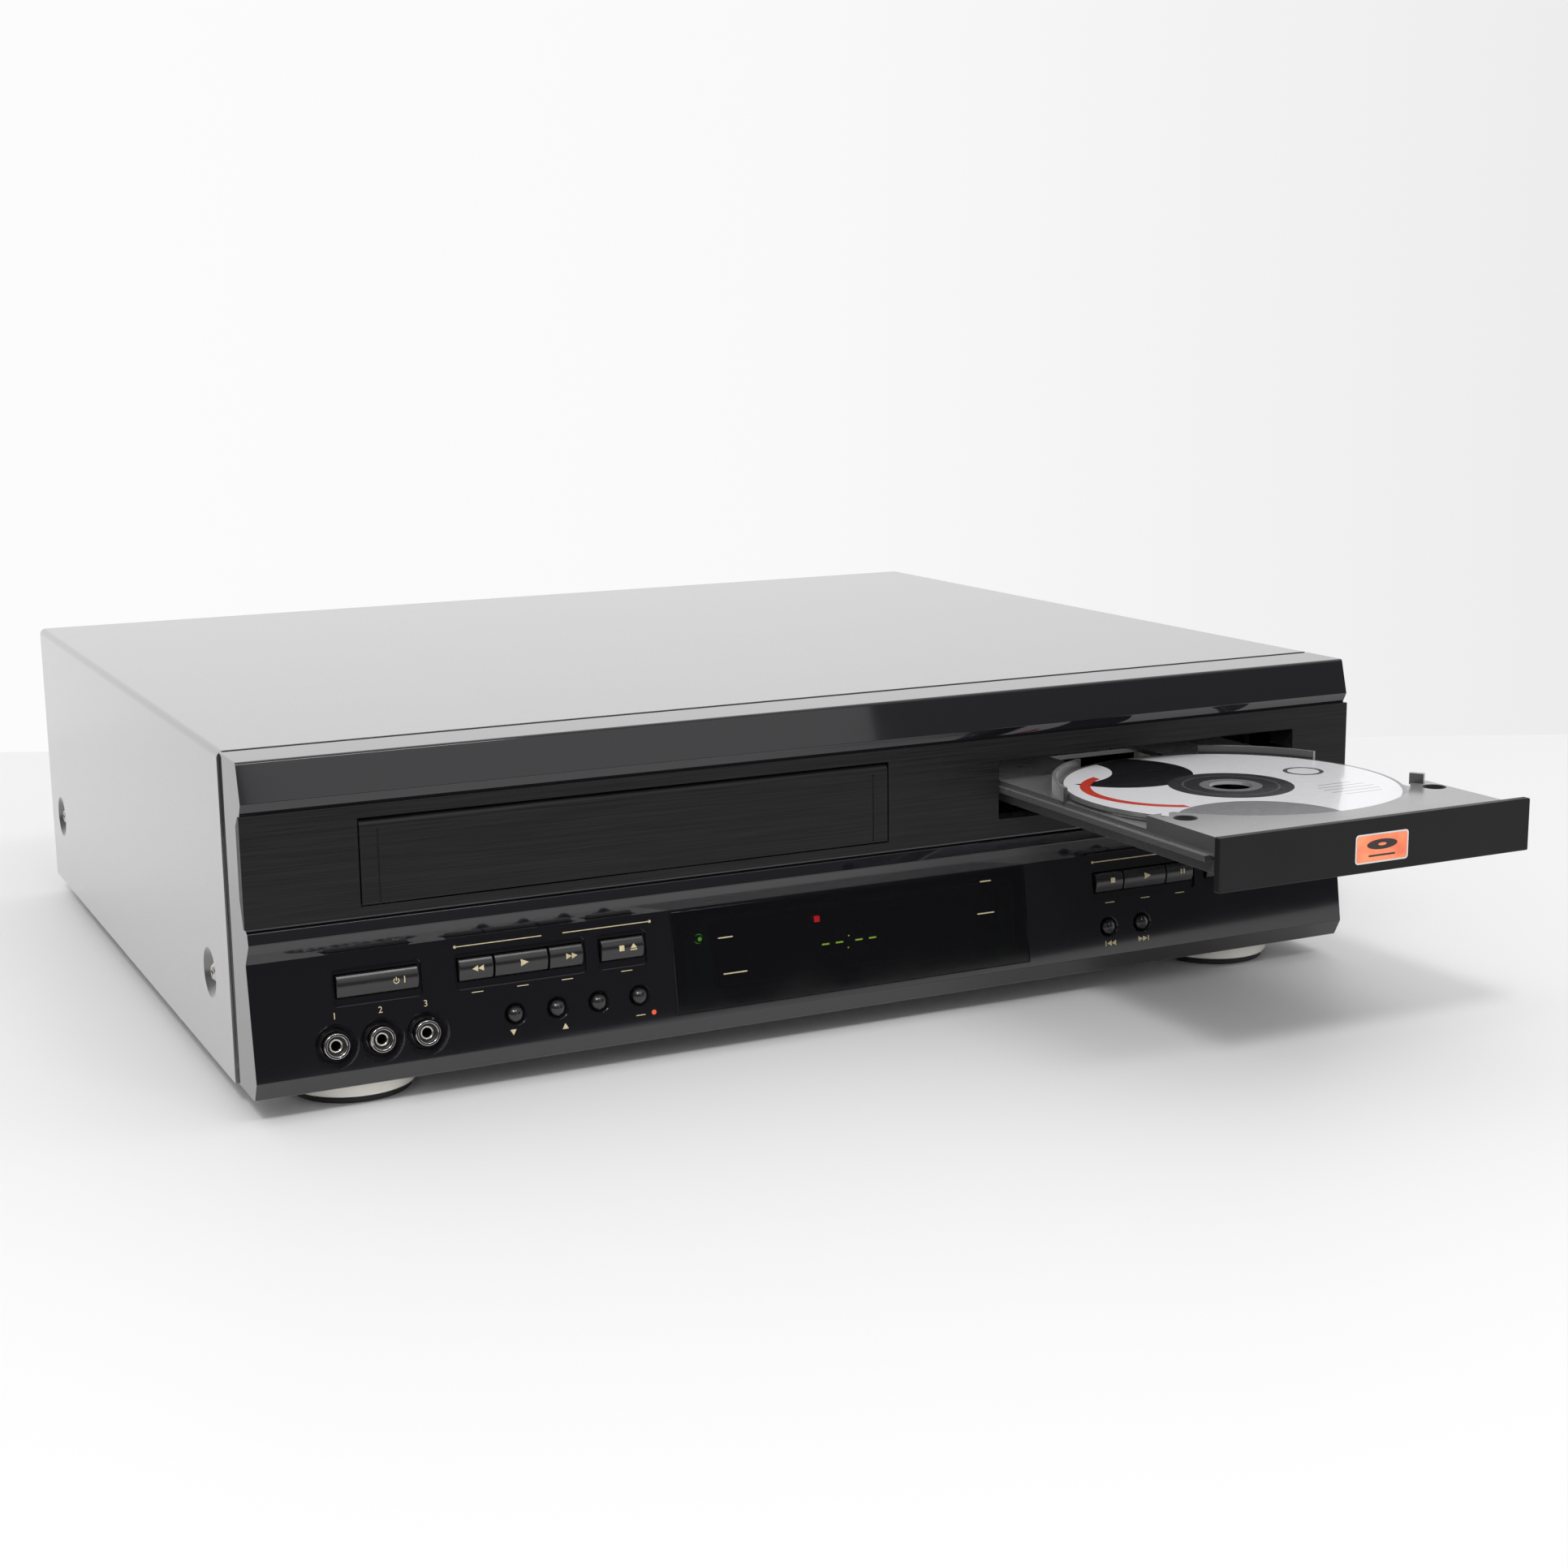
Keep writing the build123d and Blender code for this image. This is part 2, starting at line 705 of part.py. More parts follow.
for button_name, button_x in round_buttons:
    flange_out = -bezel_wall - fit_gap
    # the dome is part of a sphere centred on the button's axis
    dome_rise = 1.9
    dome_top = 1.5
    dome_radius = (button_radius**2 + dome_rise**2) / (2 * dome_rise)
    half_turn = math.asin(button_radius / dome_radius) / 2
    dome_side = dome_radius * math.sin(half_turn)
    dome_mid = dome_top - dome_radius + dome_radius * math.cos(half_turn)
    with BuildPart() as button:
        with BuildSketch(radial_plane(button_x, button_lift)):
            with BuildLine():
                Line((0, stem_end), (1.5, stem_end))
                Line((1.5, stem_end), (1.5, flange_out - 0.9))
                Line((1.5, flange_out - 0.9), (button_radius + 1.1, flange_out - 0.9))
                Line((button_radius + 1.1, flange_out - 0.9), (button_radius + 1.1, flange_out))
                Line((button_radius + 1.1, flange_out), (button_radius, flange_out))
                Line((button_radius, flange_out), (button_radius, dome_top - dome_rise))
                ThreePointArc(
                    (button_radius, dome_top - dome_rise), (dome_side, dome_mid), (0, dome_top)
                )
                Line((0, dome_top), (0, stem_end))
            make_face()
        revolve(axis=Axis(panel_point(button_x, button_lift), panel_out))
    button.part.label = button_name
    export_step(button.part, "parts/" + button_name + ".step")

# Front sockets: one moulded block with three bright sleeves
with BuildPart() as front_jacks:
    block_depth = board_behind_panel - bezel_wall - jack_dish_depth - fit_gap
    block_out = -bezel_wall - jack_dish_depth - fit_gap
    with BuildSketch(panel_at(jack_centers[1], jack_lift, block_out)):
        Rectangle(3 * jack_pitch - 2, 13)
    extrude(amount=-block_depth)
    for jack_x in jack_centers:
        with BuildSketch(panel_at(jack_x, jack_lift, block_out)):
            Circle(jack_radius)
        extrude(amount=-block_out + 0.4)
    for jack_x in jack_centers:
        with BuildSketch(panel_at(jack_x, jack_lift, 0.4)):
            Circle(jack_radius - 0.9)
        extrude(amount=-2.0, mode=Mode.SUBTRACT)
        with Locations(panel_at(jack_x, jack_lift, 0.4)):
            Hole(jack_bore, depth=9.0)
front_jacks.part.label = "front_jacks"
export_step(front_jacks.part, "parts/front_jacks.step")

# Circuit board behind the key panel, with a switch behind each key
with BuildPart() as front_board:
    with BuildSketch(panel_at((board_left + board_right) / 2, panel_length / 2, -board_behind_panel)):
        Rectangle(board_right - board_left, panel_length - 3)
    extrude(amount=-board_wall)
    switch_places = [(key_x, key_lift) for key_name, key_x, key_width in keys]
    switch_places += [(button_x, button_lift) for button_name, button_x in round_buttons]
    for switch_x, switch_lift in switch_places:
        with BuildSketch(panel_at(switch_x, switch_lift, -board_behind_panel)):
            Rectangle(6, 6)
        extrude(amount=switch_height - 1.0)
        with BuildSketch(panel_at(switch_x, switch_lift, -board_behind_panel)):
            Circle(1.6)
        extrude(amount=switch_height)
    # status lamp behind the display window
    with BuildSketch(panel_at(window_left + 11.2, 26.7, -board_behind_panel)):
        Circle(1.5)
    extrude(amount=board_behind_panel - window_wall - 0.8 - fit_gap)
front_board.part.label = "front_board"
export_step(front_board.part, "parts/front_board.step")

# Display tube on the board
with BuildPart() as display_module:
    tube_x = window_left + 75.3
    with BuildSketch(panel_at(tube_x, 19.5, -board_behind_panel)):
        Rectangle(112, 22)
    extrude(amount=6.0)
    with BuildSketch(panel_at(tube_x, 19.5, -board_behind_panel + 6.0)):
        Rectangle(104, 16)
    extrude(amount=1.2)
display_module.part.label = "display_module"
export_step(display_module.part, "parts/display_module.step")

# ---------------------------------------------------------------- cassette door

door_length = opening_width - 2 * door_gap
door_low = opening_base + door_gap

with BuildPart() as cassette_door:
    door_left = cassette_center - door_length / 2
    with BuildSketch(Plane.YZ.offset(door_left)):
        with Locations((door_pin_y, door_pin_z)):
            Circle(door_roll)
        with Locations((face_y + door_wall / 2, (door_low + door_pin_z) / 2)):
            Rectangle(door_wall, door_pin_z - door_low)
    extrude(amount=door_length)
    # a fine score near each end of the face
    for side in (-1, 1):
        with Locations((cassette_center + side * (door_length / 2 - 5.8), face_y, (door_low + door_pin_z) / 2)):
            Box(0.6, 0.6, door_pin_z - door_low - 1, mode=Mode.SUBTRACT)
    for side in (-1, 1):
        wall_x = cassette_center + side * door_length / 2
        with BuildSketch(Plane.YZ.offset(wall_x)):
            with Locations((door_pin_y, door_pin_z)):
                Circle(door_pin_radius)
        extrude(amount=side * (door_gap + door_pin_length))
cassette_door.part.label = "cassette_door"
export_step(cassette_door.part, "parts/cassette_door.step")

# ---------------------------------------------------------------- cassette mechanism

deck_top = cover_base + deck_height + deck_wall
deck_base = cover_base + deck_height
deck_front_y = seam_y + deck_front
deck_back_y = deck_front_y + deck_depth
holder_half = cassette_width / 2 + cassette_play + holder_wall
frame_half = holder_half + frame_gap
holder_floor = opening_base + cassette_play - 0.1
holder_top = holder_floor + cassette_height + 2 * cassette_play
holder_front_y = seam_y + holder_front
holder_pins = [
    (holder_front_y + 12, holder_floor + 17),
    (holder_front_y + holder_depth - 12, holder_floor + 25),
]
guide_y = seam_y + guide_back
drum_y = seam_y + drum_back
capstan_x = cassette_center + capstan_offset
capstan_y = seam_y + capstan_back
reel_y = seam_y + reel_back
roller_stop = roller_radius + capstan_radius + fit_gap
pinch_x = capstan_x + 24.0
pinch_y = capstan_y - math.sqrt((pinch_arm_length + roller_stop) ** 2 - 24.0**2)
closed_angle = math.atan2(capstan_y - pinch_y, capstan_x - pinch_x)
rest_angle = closed_angle + math.radians(pinch_angle)
roller_x = pinch_x + pinch_arm_length * math.cos(rest_angle)
roller_y = pinch_y + pinch_arm_length * math.sin(rest_angle)

with BuildPart() as vcr_deck:
    with BuildSketch(Plane.XY.offset(deck_base)):
        with Locations((cassette_center, (deck_front_y + deck_back_y) / 2)):
            RectangleRounded(deck_width, deck_depth, 4)
        # straight tracks for the two tape guides
        for side in (-1, 1):
            with Locations((cassette_center + side * guide_offset, guide_y + guide_travel / 2)):
                SlotOverall(guide_travel + 8, 4.6, rotation=90, mode=Mode.SUBTRACT)
    extrude(amount=deck_wall)
    # bent legs down to the chassis floor
    for side in (-1, 1):
        for leg_y in (deck_front_y + 18, deck_back_y - 18):
            leg_x = cassette_center + side * (deck_width / 2 - deck_wall / 2)
            with Locations((leg_x, leg_y, (chassis_top + deck_base) / 2)):
                Box(deck_wall, 16, deck_base - chassis_top)
    # bearing for the capstan, posts for the reels and the roller arm
    with BuildSketch(Plane.XY.offset(deck_base - 6)):
        with Locations((capstan_x, capstan_y)):
            Circle(capstan_radius + 3)
    extrude(amount=12)
    with Locations((capstan_x, capstan_y, deck_top + 10)):
        Hole(capstan_radius + pin_gap, depth=30)
    with BuildSketch(Plane.XY.offset(deck_base)):
        with Locations(
            (cassette_center - reel_offset, reel_y), (cassette_center + reel_offset, reel_y)
        ):
            Circle(post_radius)
        with Locations((pinch_x, pinch_y)):
            Circle(post_radius)
    extrude(amount=22)
vcr_deck.part.label = "vcr_deck"
export_step(vcr_deck.part, "parts/vcr_deck.step")

# Side plates with stepped slots that steer the cassette holder
with BuildPart() as holder_frame:
    frame_front = seam_y + 4.0
    frame_back = holder_pins[1][0] + holder_travel + 8
    frame_top = holder_top + holder_wall + 6.0
    slot_half = holder_pin_radius + fit_gap
    for side in (-1, 1):
        with BuildSketch(Plane.YZ.offset(cassette_center + side * frame_half)):
            with Locations(((frame_front + frame_back) / 2, (deck_top + frame_top) / 2)):
                Rectangle(frame_back - frame_front, frame_top - deck_top)
            for pin_y, pin_z in holder_pins:
                with Locations((pin_y + holder_travel / 2, pin_z)):
                    SlotOverall(holder_travel + 2 * slot_half, 2 * slot_half, mode=Mode.SUBTRACT)
                with Locations((pin_y + holder_travel, pin_z - 12)):
                    SlotOverall(24 + 2 * slot_half, 2 * slot_half, rotation=90, mode=Mode.SUBTRACT)
        extrude(amount=side * deck_wall)
    # cross bar that ties the two plates together over the holder
    with Locations((cassette_center, frame_back - 6, frame_top - deck_wall / 2)):
        Box(2 * (frame_half + deck_wall), 12, deck_wall)
holder_frame.part.label = "holder_frame"
export_step(holder_frame.part, "parts/holder_frame.step")

# The basket that takes the cassette in
with BuildPart() as cassette_holder:
    with BuildSketch(front_plane(holder_front_y)):
        with Locations((cassette_center, (holder_floor + holder_top) / 2)):
            Rectangle(2 * holder_half, holder_top - holder_floor + 2 * holder_wall)
            Rectangle(
                2 * (holder_half - holder_wall), holder_top - holder_floor, mode=Mode.SUBTRACT
            )
    extrude(amount=-holder_depth)
    # open floor for the reels, and two windows in the roof with spring fingers between
    with BuildSketch(Plane.XY.offset(holder_floor - holder_wall)):
        with Locations((cassette_center, holder_front_y + holder_depth / 2 - 8)):
            Rectangle(2 * holder_half - 48, holder_depth - 14)
    extrude(amount=holder_wall, mode=Mode.SUBTRACT)
    with BuildSketch(Plane.XY.offset(holder_top)):
        with GridLocations(2 * reel_offset, 0, 2, 1):
            with Locations((cassette_center, holder_front_y + holder_depth / 2)):
                RectangleRounded(48, holder_depth - 22, 3)
    extrude(amount=holder_wall, mode=Mode.SUBTRACT)
    for side in (-1, 1):
        for pin_y, pin_z in holder_pins:
            with BuildSketch(Plane.YZ.offset(cassette_center + side * holder_half)):
                with Locations((pin_y, pin_z)):
                    Circle(holder_pin_radius)
            extrude(amount=side * (frame_gap + deck_wall + 1))
cassette_holder.part.label = "cassette_holder"
export_step(cassette_holder.part, "parts/cassette_holder.step")

# Video head drum, tilted as in every such deck
drum_lean = math.radians(drum_tilt)
drum_axis = Vector(0, -math.sin(drum_lean), math.cos(drum_lean))
drum_seat = Vector(cassette_center, drum_y, deck_top + 5)


def drum_plane(height):
    """A plane across the drum's tilted axis."""
    return Plane(origin=drum_seat + drum_axis * height, x_dir=(1, 0, 0), z_dir=drum_axis)


with BuildPart() as lower_drum:
    with BuildSketch(drum_plane(0)):
        Circle(drum_radius)
    extrude(amount=lower_drum_height)
    # the base that carries it on the deck
    with BuildSketch(Plane.XY.offset(deck_top)):
        with Locations((cassette_center, drum_y)):
            RectangleRounded(48, 44, 5)
    extrude(amount=8)
    # rabbet that guides the tape's edge
    with BuildSketch(drum_plane(lower_drum_height)):
        Circle(drum_radius)
        Circle(drum_radius - 0.5, mode=Mode.SUBTRACT)
    extrude(amount=-6, mode=Mode.SUBTRACT)
    with BuildSketch(drum_plane(lower_drum_height)):
        Circle(2 + pin_gap)
    extrude(amount=-12.5, mode=Mode.SUBTRACT)
lower_drum.part.label = "lower_drum"
export_step(lower_drum.part, "parts/lower_drum.step")

with BuildPart() as upper_drum:
    rotor_base = lower_drum_height + 0.5
    with BuildSketch(drum_plane(rotor_base)):
        Circle(drum_radius - 0.5)
    extrude(amount=upper_drum_height)
    # hollow top with a hub, and the two head windows
    with BuildSketch(drum_plane(rotor_base + upper_drum_height)):
        Circle(drum_radius - 4)
        Circle(11, mode=Mode.SUBTRACT)
    extrude(amount=-(upper_drum_height - 5), mode=Mode.SUBTRACT)
    with BuildSketch(drum_plane(rotor_base)):
        with PolarLocations(drum_radius - 1.5, 2):
            Rectangle(5, 7)
    extrude(amount=3, mode=Mode.SUBTRACT)
    with BuildSketch(drum_plane(rotor_base)):
        Circle(2)
    extrude(amount=-11)
upper_drum.part.label = "upper_drum"
export_step(upper_drum.part, "parts/upper_drum.step")

# Capstan with its flywheel under the deck
with BuildPart() as capstan:
    wheel_top = deck_base - 6 - fit_gap
    with BuildSketch(Plane.XY.offset(wheel_top - 6)):
        with Locations((capstan_x, capstan_y)):
            Circle(flywheel_radius)
    extrude(amount=6)
    with BuildSketch(Plane.XY.offset(wheel_top - 6)):
        with Locations((capstan_x, capstan_y)):
            Circle(capstan_radius)
    extrude(amount=deck_top + 26 - (wheel_top - 6))
    with BuildSketch(Plane.XY.offset(wheel_top)):
        with Locations((capstan_x, capstan_y)):
            Circle(flywheel_radius - 5)
            Circle(capstan_radius + 5, mode=Mode.SUBTRACT)
    extrude(amount=-2, mode=Mode.SUBTRACT)
capstan.part.label = "capstan"
export_step(capstan.part, "parts/capstan.step")

# Roller on its arm, which swings to press the tape on the capstan
with BuildPart() as pinch_roller:
    arm_base = deck_top + 8
    with BuildSketch(Plane.XY.offset(arm_base)):
        with Locations((pinch_x, pinch_y)):
            Circle(4)
        with Locations(((pinch_x + roller_x) / 2, (pinch_y + roller_y) / 2)):
            Rectangle(pinch_arm_length, 5, rotation=math.degrees(rest_angle))
        with Locations((roller_x, roller_y)):
            Circle(3)
    extrude(amount=2.5)
    with BuildSketch(Plane.XY.offset(arm_base + 2.5)):
        with Locations((roller_x, roller_y)):
            Circle(roller_radius)
    extrude(amount=12)
    with Locations((pinch_x, pinch_y, arm_base + 2.5)):
        Hole(post_radius + pin_gap, depth=2.5)
pinch_roller.part.label = "pinch_roller"
export_step(pinch_roller.part, "parts/pinch_roller.step")

# Reel tables on their posts
for reel_name, reel_side in (("supply_reel", -1), ("take_up_reel", 1)):
    reel_x = cassette_center + reel_side * reel_offset
    with BuildPart() as reel:
        with BuildSketch(Plane.XY.offset(deck_top + fit_gap)):
            with Locations((reel_x, reel_y)):
                Circle(reel_table_radius)
        extrude(amount=4)
        with BuildSketch(Plane.XY.offset(deck_top + fit_gap)):
            with Locations((reel_x, reel_y)):
                Circle(reel_hub_radius)
                # three drive fins
                with PolarLocations(reel_hub_radius, 3):
                    Rectangle(4, 1.6)
        extrude(amount=20.0)
        with Locations((reel_x, reel_y, deck_top + fit_gap + 20.0)):
            Hole(post_radius + pin_gap, depth=20.5)
    reel.part.label = reel_name
    export_step(reel.part, "parts/" + reel_name + ".step")

# Tape guides that draw the tape out round the drum
with BuildPart() as tape_guides:
    for side in (-1, 1):
        guide_x = cassette_center + side * guide_offset
        with BuildSketch(Plane.XY.offset(deck_top + fit_gap)):
            with Locations((guide_x, guide_y)):
                RectangleRounded(10, 12, 2)
        extrude(amount=4)
        with BuildSketch(Plane.XY.offset(deck_base - 2.2)):
            with Locations((guide_x, guide_y)):
                Circle(2.0)
        extrude(amount=deck_wall + 2.5)
        with BuildSketch(Plane.XY.offset(deck_base - 2.2)):
            with Locations((guide_x, guide_y)):
                Circle(4.0)
        extrude(amount=1.9)
        with BuildSketch(Plane.XY.offset(deck_top + fit_gap + 4)):
            with Locations((guide_x, guide_y)):
                Circle(2.6)
        extrude(amount=16)
        with BuildSketch(Plane.XY.offset(deck_top + fit_gap + 20)):
            with Locations((guide_x, guide_y)):
                Circle(3.6)
        extrude(amount=1.5)
tape_guides.part.label = "tape_guides"
export_step(tape_guides.part, "parts/tape_guides.step")

# Erase head and sound head on their stands
with BuildPart() as tape_heads:
    for head_x, head_y, turn in (
        (cassette_center - 58, drum_y - 22, 35),
        (cassette_center + 60, drum_y - 6, -35),
    ):
        with BuildSketch(Plane.XY.offset(deck_top)):
            with Locations((head_x, head_y)):
                Rectangle(12, 14, rotation=turn)
        extrude(amount=3)
        with BuildSketch(Plane.XY.offset(deck_top + 3)):
            with Locations((head_x, head_y)):
                RectangleRounded(8, 9, 2, rotation=turn)
        extrude(amount=17)
tape_heads.part.label = "tape_heads"
export_step(tape_heads.part, "parts/tape_heads.step")

# ---------------------------------------------------------------- disc tray

door_base = slot_base + slot_play_low
door_top = door_base + tray_door_height
door_front = seam_y - open_door_reach
door_back = door_front + tray_door_wall
tray_deck = door_top - deck_below_door_top
recess_floor = tray_deck - recess_depth
tray_underside = recess_floor - tray_floor_wall
disc_y = door_front + disc_behind_door
tray_rear = door_front + tray_length
rail_top = recess_floor - rail_drop
skirt_base = rail_top - 6.5
deck_right = tray_half_width - 3.5

with BuildPart() as tray_body:
    # floor plate with the long opening for the turntable and the pickup
    with BuildSketch(Plane.XY.offset(tray_underside)):
        with Locations((tray_center, (door_back + tray_rear) / 2)):
            Rectangle(2 * tray_half_width, tray_rear - door_back)
        with Locations((tray_center, (disc_y + tray_rear - 14) / 2)):
            Rectangle(40, tray_rear - 14 - disc_y, mode=Mode.SUBTRACT)
        with Locations((tray_center, disc_y)):
            Circle(20, mode=Mode.SUBTRACT)
    extrude(amount=tray_floor_wall)
    # raised deck at the front, cut round by the disc's recess
    deck_back = door_front + deck_length
    with BuildSketch(Plane.XY.offset(recess_floor)):
        deck_left_x = tray_center - tray_half_width
        deck_right_x = tray_center + deck_right
        with Locations(((deck_left_x + deck_right_x) / 2, (door_back + deck_back) / 2)):
            Rectangle(deck_right_x - deck_left_x, deck_back - door_back)
        with Locations((tray_center, disc_y)):
            Circle(recess_radius, mode=Mode.SUBTRACT)
    extrude(amount=recess_depth)
    # low step that the disc's edge rests on
    with BuildSketch(Plane.XY.offset(recess_floor)):
        with Locations((tray_center, disc_y)):
            Circle(recess_radius)
            Circle(disc_radius - 2.5, mode=Mode.SUBTRACT)
        with Locations((tray_center, disc_y)):
            Rectangle(2 * tray_half_width - 4, 3 * disc_radius, mode=Mode.INTERSECT)
        with Locations((tray_center, disc_y + disc_radius)):
            Rectangle(44, 2 * disc_radius, mode=Mode.SUBTRACT)
    extrude(amount=0.8)
    # curved fences behind the disc, left and right
    for first, last in ((24, 65), (116, 168)):
        with BuildSketch(Plane.XY.offset(recess_floor)):
            with BuildLine():
                center = (tray_center, disc_y)
                CenterArc(center, recess_radius, first, last - first)
                CenterArc(center, recess_radius + 1.5, first, last - first)
                for angle in (first, last):
                    turn = math.radians(angle)
                    near = Vector(tray_center, disc_y) + Vector(math.cos(turn), math.sin(turn)) * recess_radius
                    far = near + Vector(math.cos(turn), math.sin(turn)) * 1.5
                    Line(near, far)
            make_face()
        extrude(amount=recess_depth + 0.5)
    # rear edge rib
    with BuildSketch(Plane.XY.offset(recess_floor)):
        with Locations((tray_center, tray_rear - 1)):
            Rectangle(2 * tray_half_width, 2)
    extrude(amount=2.0)
    # side skirts and the rails that run in the loader
    for side in (-1, 1):
        skirt_x = tray_center + side * (tray_half_width - 3)
        with BuildSketch(Plane.XY.offset(skirt_base)):
            with Locations((skirt_x, (door_back + tray_rear) / 2)):
                Rectangle(1.8, tray_rear - door_back)
        extrude(amount=tray_underside - skirt_base)
        rail_inner = tray_half_width - 4
        rail_x = tray_center + side * (rail_inner + rail_half_width) / 2
        with BuildSketch(Plane.XY.offset(rail_top - rail_wall)):
            with Locations((rail_x, (door_back + 6 + tray_rear) / 2)):
                Rectangle(rail_half_width - rail_inner, tray_rear - door_back - 6)
        extrude(amount=rail_wall)
    # round holes in the deck's front corners
    for side in (-1, 1):
        with Locations((tray_center + side * 52, door_front + 34.3, tray_deck)):
            Hole(tray_hole_radius, depth=recess_depth + tray_floor_wall)
    # upright disc keeper on the right, and the slot of the folded one on the left
    with BuildSketch(Plane.XY.offset(tray_deck - 0.5)):
        with Locations((tray_center + 51.5, door_front + 42.5)):
            Rectangle(2.2, 5, rotation=35)
    extrude(amount=4.0)
    with BuildSketch(Plane.XY.offset(tray_deck)):
        with Locations((tray_center - 54.5, door_front + 42)):
            Rectangle(2.4, 7, rotation=-35)
    extrude(amount=-2.5, mode=Mode.SUBTRACT)

# rack under the tray: its teeth face the middle and mesh with the pinion
pitch = math.pi * tooth_module
addendum = 0.8 * tooth_module
dedendum = 1.1 * tooth_module
rack_top = tray_underside
rack_base = tray_underside - gear_width - 1.5
pinion_radius = pinion_teeth * tooth_module / 2
rack_pitch_x = tray_center + 44.0
pinion_x = rack_pitch_x - pinion_radius
pinion_y = seam_y + loader_front + 14.0
rack_front = tray_rear - 2 - rack_length


def tooth_points(root, tip, thickness):
    """A straight-sided tooth along local X, from the root out to the tip."""
    return [
        (root, -thickness * 0.74),
        (tip, -thickness * 0.28),
        (tip, thickness * 0.28),
        (root, thickness * 0.74),
    ]


def gear_outline(teeth, phase):
    """The outline of a toothed wheel whose first tooth stands at this angle."""
    radius = teeth * tooth_module / 2
    tooth = tooth_points(radius - dedendum - 0.4, radius + addendum, tooth_share * pitch)
    with BuildSketch() as outline:
        Circle(radius - dedendum)
        with PolarLocations(0, teeth, start_angle=phase):
            Polygon(*tooth, align=None)
    return outline.sketch


rack_tooth = tooth_points(-dedendum - 0.4, addendum, tooth_share * pitch)
pinion_outline = gear_outline(pinion_teeth, 0)
large_outline = gear_outline(large_teeth, 0)
small_outline = gear_outline(small_teeth, 180 / small_teeth)

with BuildPart() as disc_tray:
    add(tray_body.part)
    with BuildSketch(Plane.XY.offset(rack_base)):
        rack_body_x = rack_pitch_x + dedendum + rack_wall / 2
        with Locations((rack_body_x, rack_front + rack_length / 2)):
            Rectangle(rack_wall, rack_length)
        # a tooth gap of the rack meets the pinion's tooth at rest
        tooth_count = int(rack_length / pitch) - 1
        first_tooth = pinion_y - pitch / 2 - pitch * math.floor(
            (pinion_y - pitch / 2 - rack_front - pitch / 2) / pitch
        )
        for index in range(tooth_count):
            with Locations(Location((rack_pitch_x, first_tooth + index * pitch), 180)):
                Polygon(*rack_tooth, align=None)
    extrude(amount=rack_top - rack_base)
disc_tray.part.label = "disc_tray"
export_step(disc_tray.part, "parts/disc_tray.step")

# The tray's front door, clipped on
with BuildPart() as tray_door:
    with BuildSketch(front_plane(door_back)):
        with Locations((tray_center, (door_base + door_top) / 2)):
            RectangleRounded(tray_door_width, tray_door_height, 0.5)
    extrude(amount=tray_door_wall)
    # clips behind it that hook under the tray's floor
    for clip_x in (tray_center - 48, tray_center + 32):
        with BuildSketch(Plane.YZ.offset(clip_x)):
            with BuildLine():
                Polyline(
                    (door_back, skirt_base - 2),
                    (door_back + 9, tray_underside - 3),
                    (door_back + 9, tray_underside),
                    (door_back, tray_underside),
                    close=True,
                )
            make_face()
        extrude(amount=4)
tray_door.part.label = "tray_door"
export_step(tray_door.part, "parts/tray_door.step")

# The disc, lying in the tray's recess
with BuildPart() as disc:
    disc_base = recess_floor + 0.8 + fit_gap
    with BuildSketch(Plane.XY.offset(disc_base)):
        with Locations((tray_center, disc_y)):
            Circle(disc_radius)
            Circle(disc_hole_radius, mode=Mode.SUBTRACT)
    extrude(amount=disc_thickness)
    # stacking ring on its underside
    with BuildSketch(Plane.XY.offset(disc_base)):
        with Locations((tray_center, disc_y)):
            Circle(17.5)
            Circle(16.7, mode=Mode.SUBTRACT)
    extrude(amount=-0.2)
disc.part.label = "disc"
export_step(disc.part, "parts/disc.step")

# ---------------------------------------------------------------- disc mechanism

loader_front_y = seam_y + loader_front
loader_back_y = loader_front_y + loader_depth
loader_base = cover_base + loader_floor
loader_half = rail_half_width + 0.8 + loader_wall
ledge_top = rail_top - rail_wall - fit_gap
spindle_y = disc_y + tray_travel
large_base = rack_base - 7.0
pulley_gear_x = pinion_x - (large_teeth + small_teeth) * tooth_module / 2
pulley_base = large_base - 6.0
motor_x = pulley_gear_x - motor_reach
motor_boss_radius = 3.0

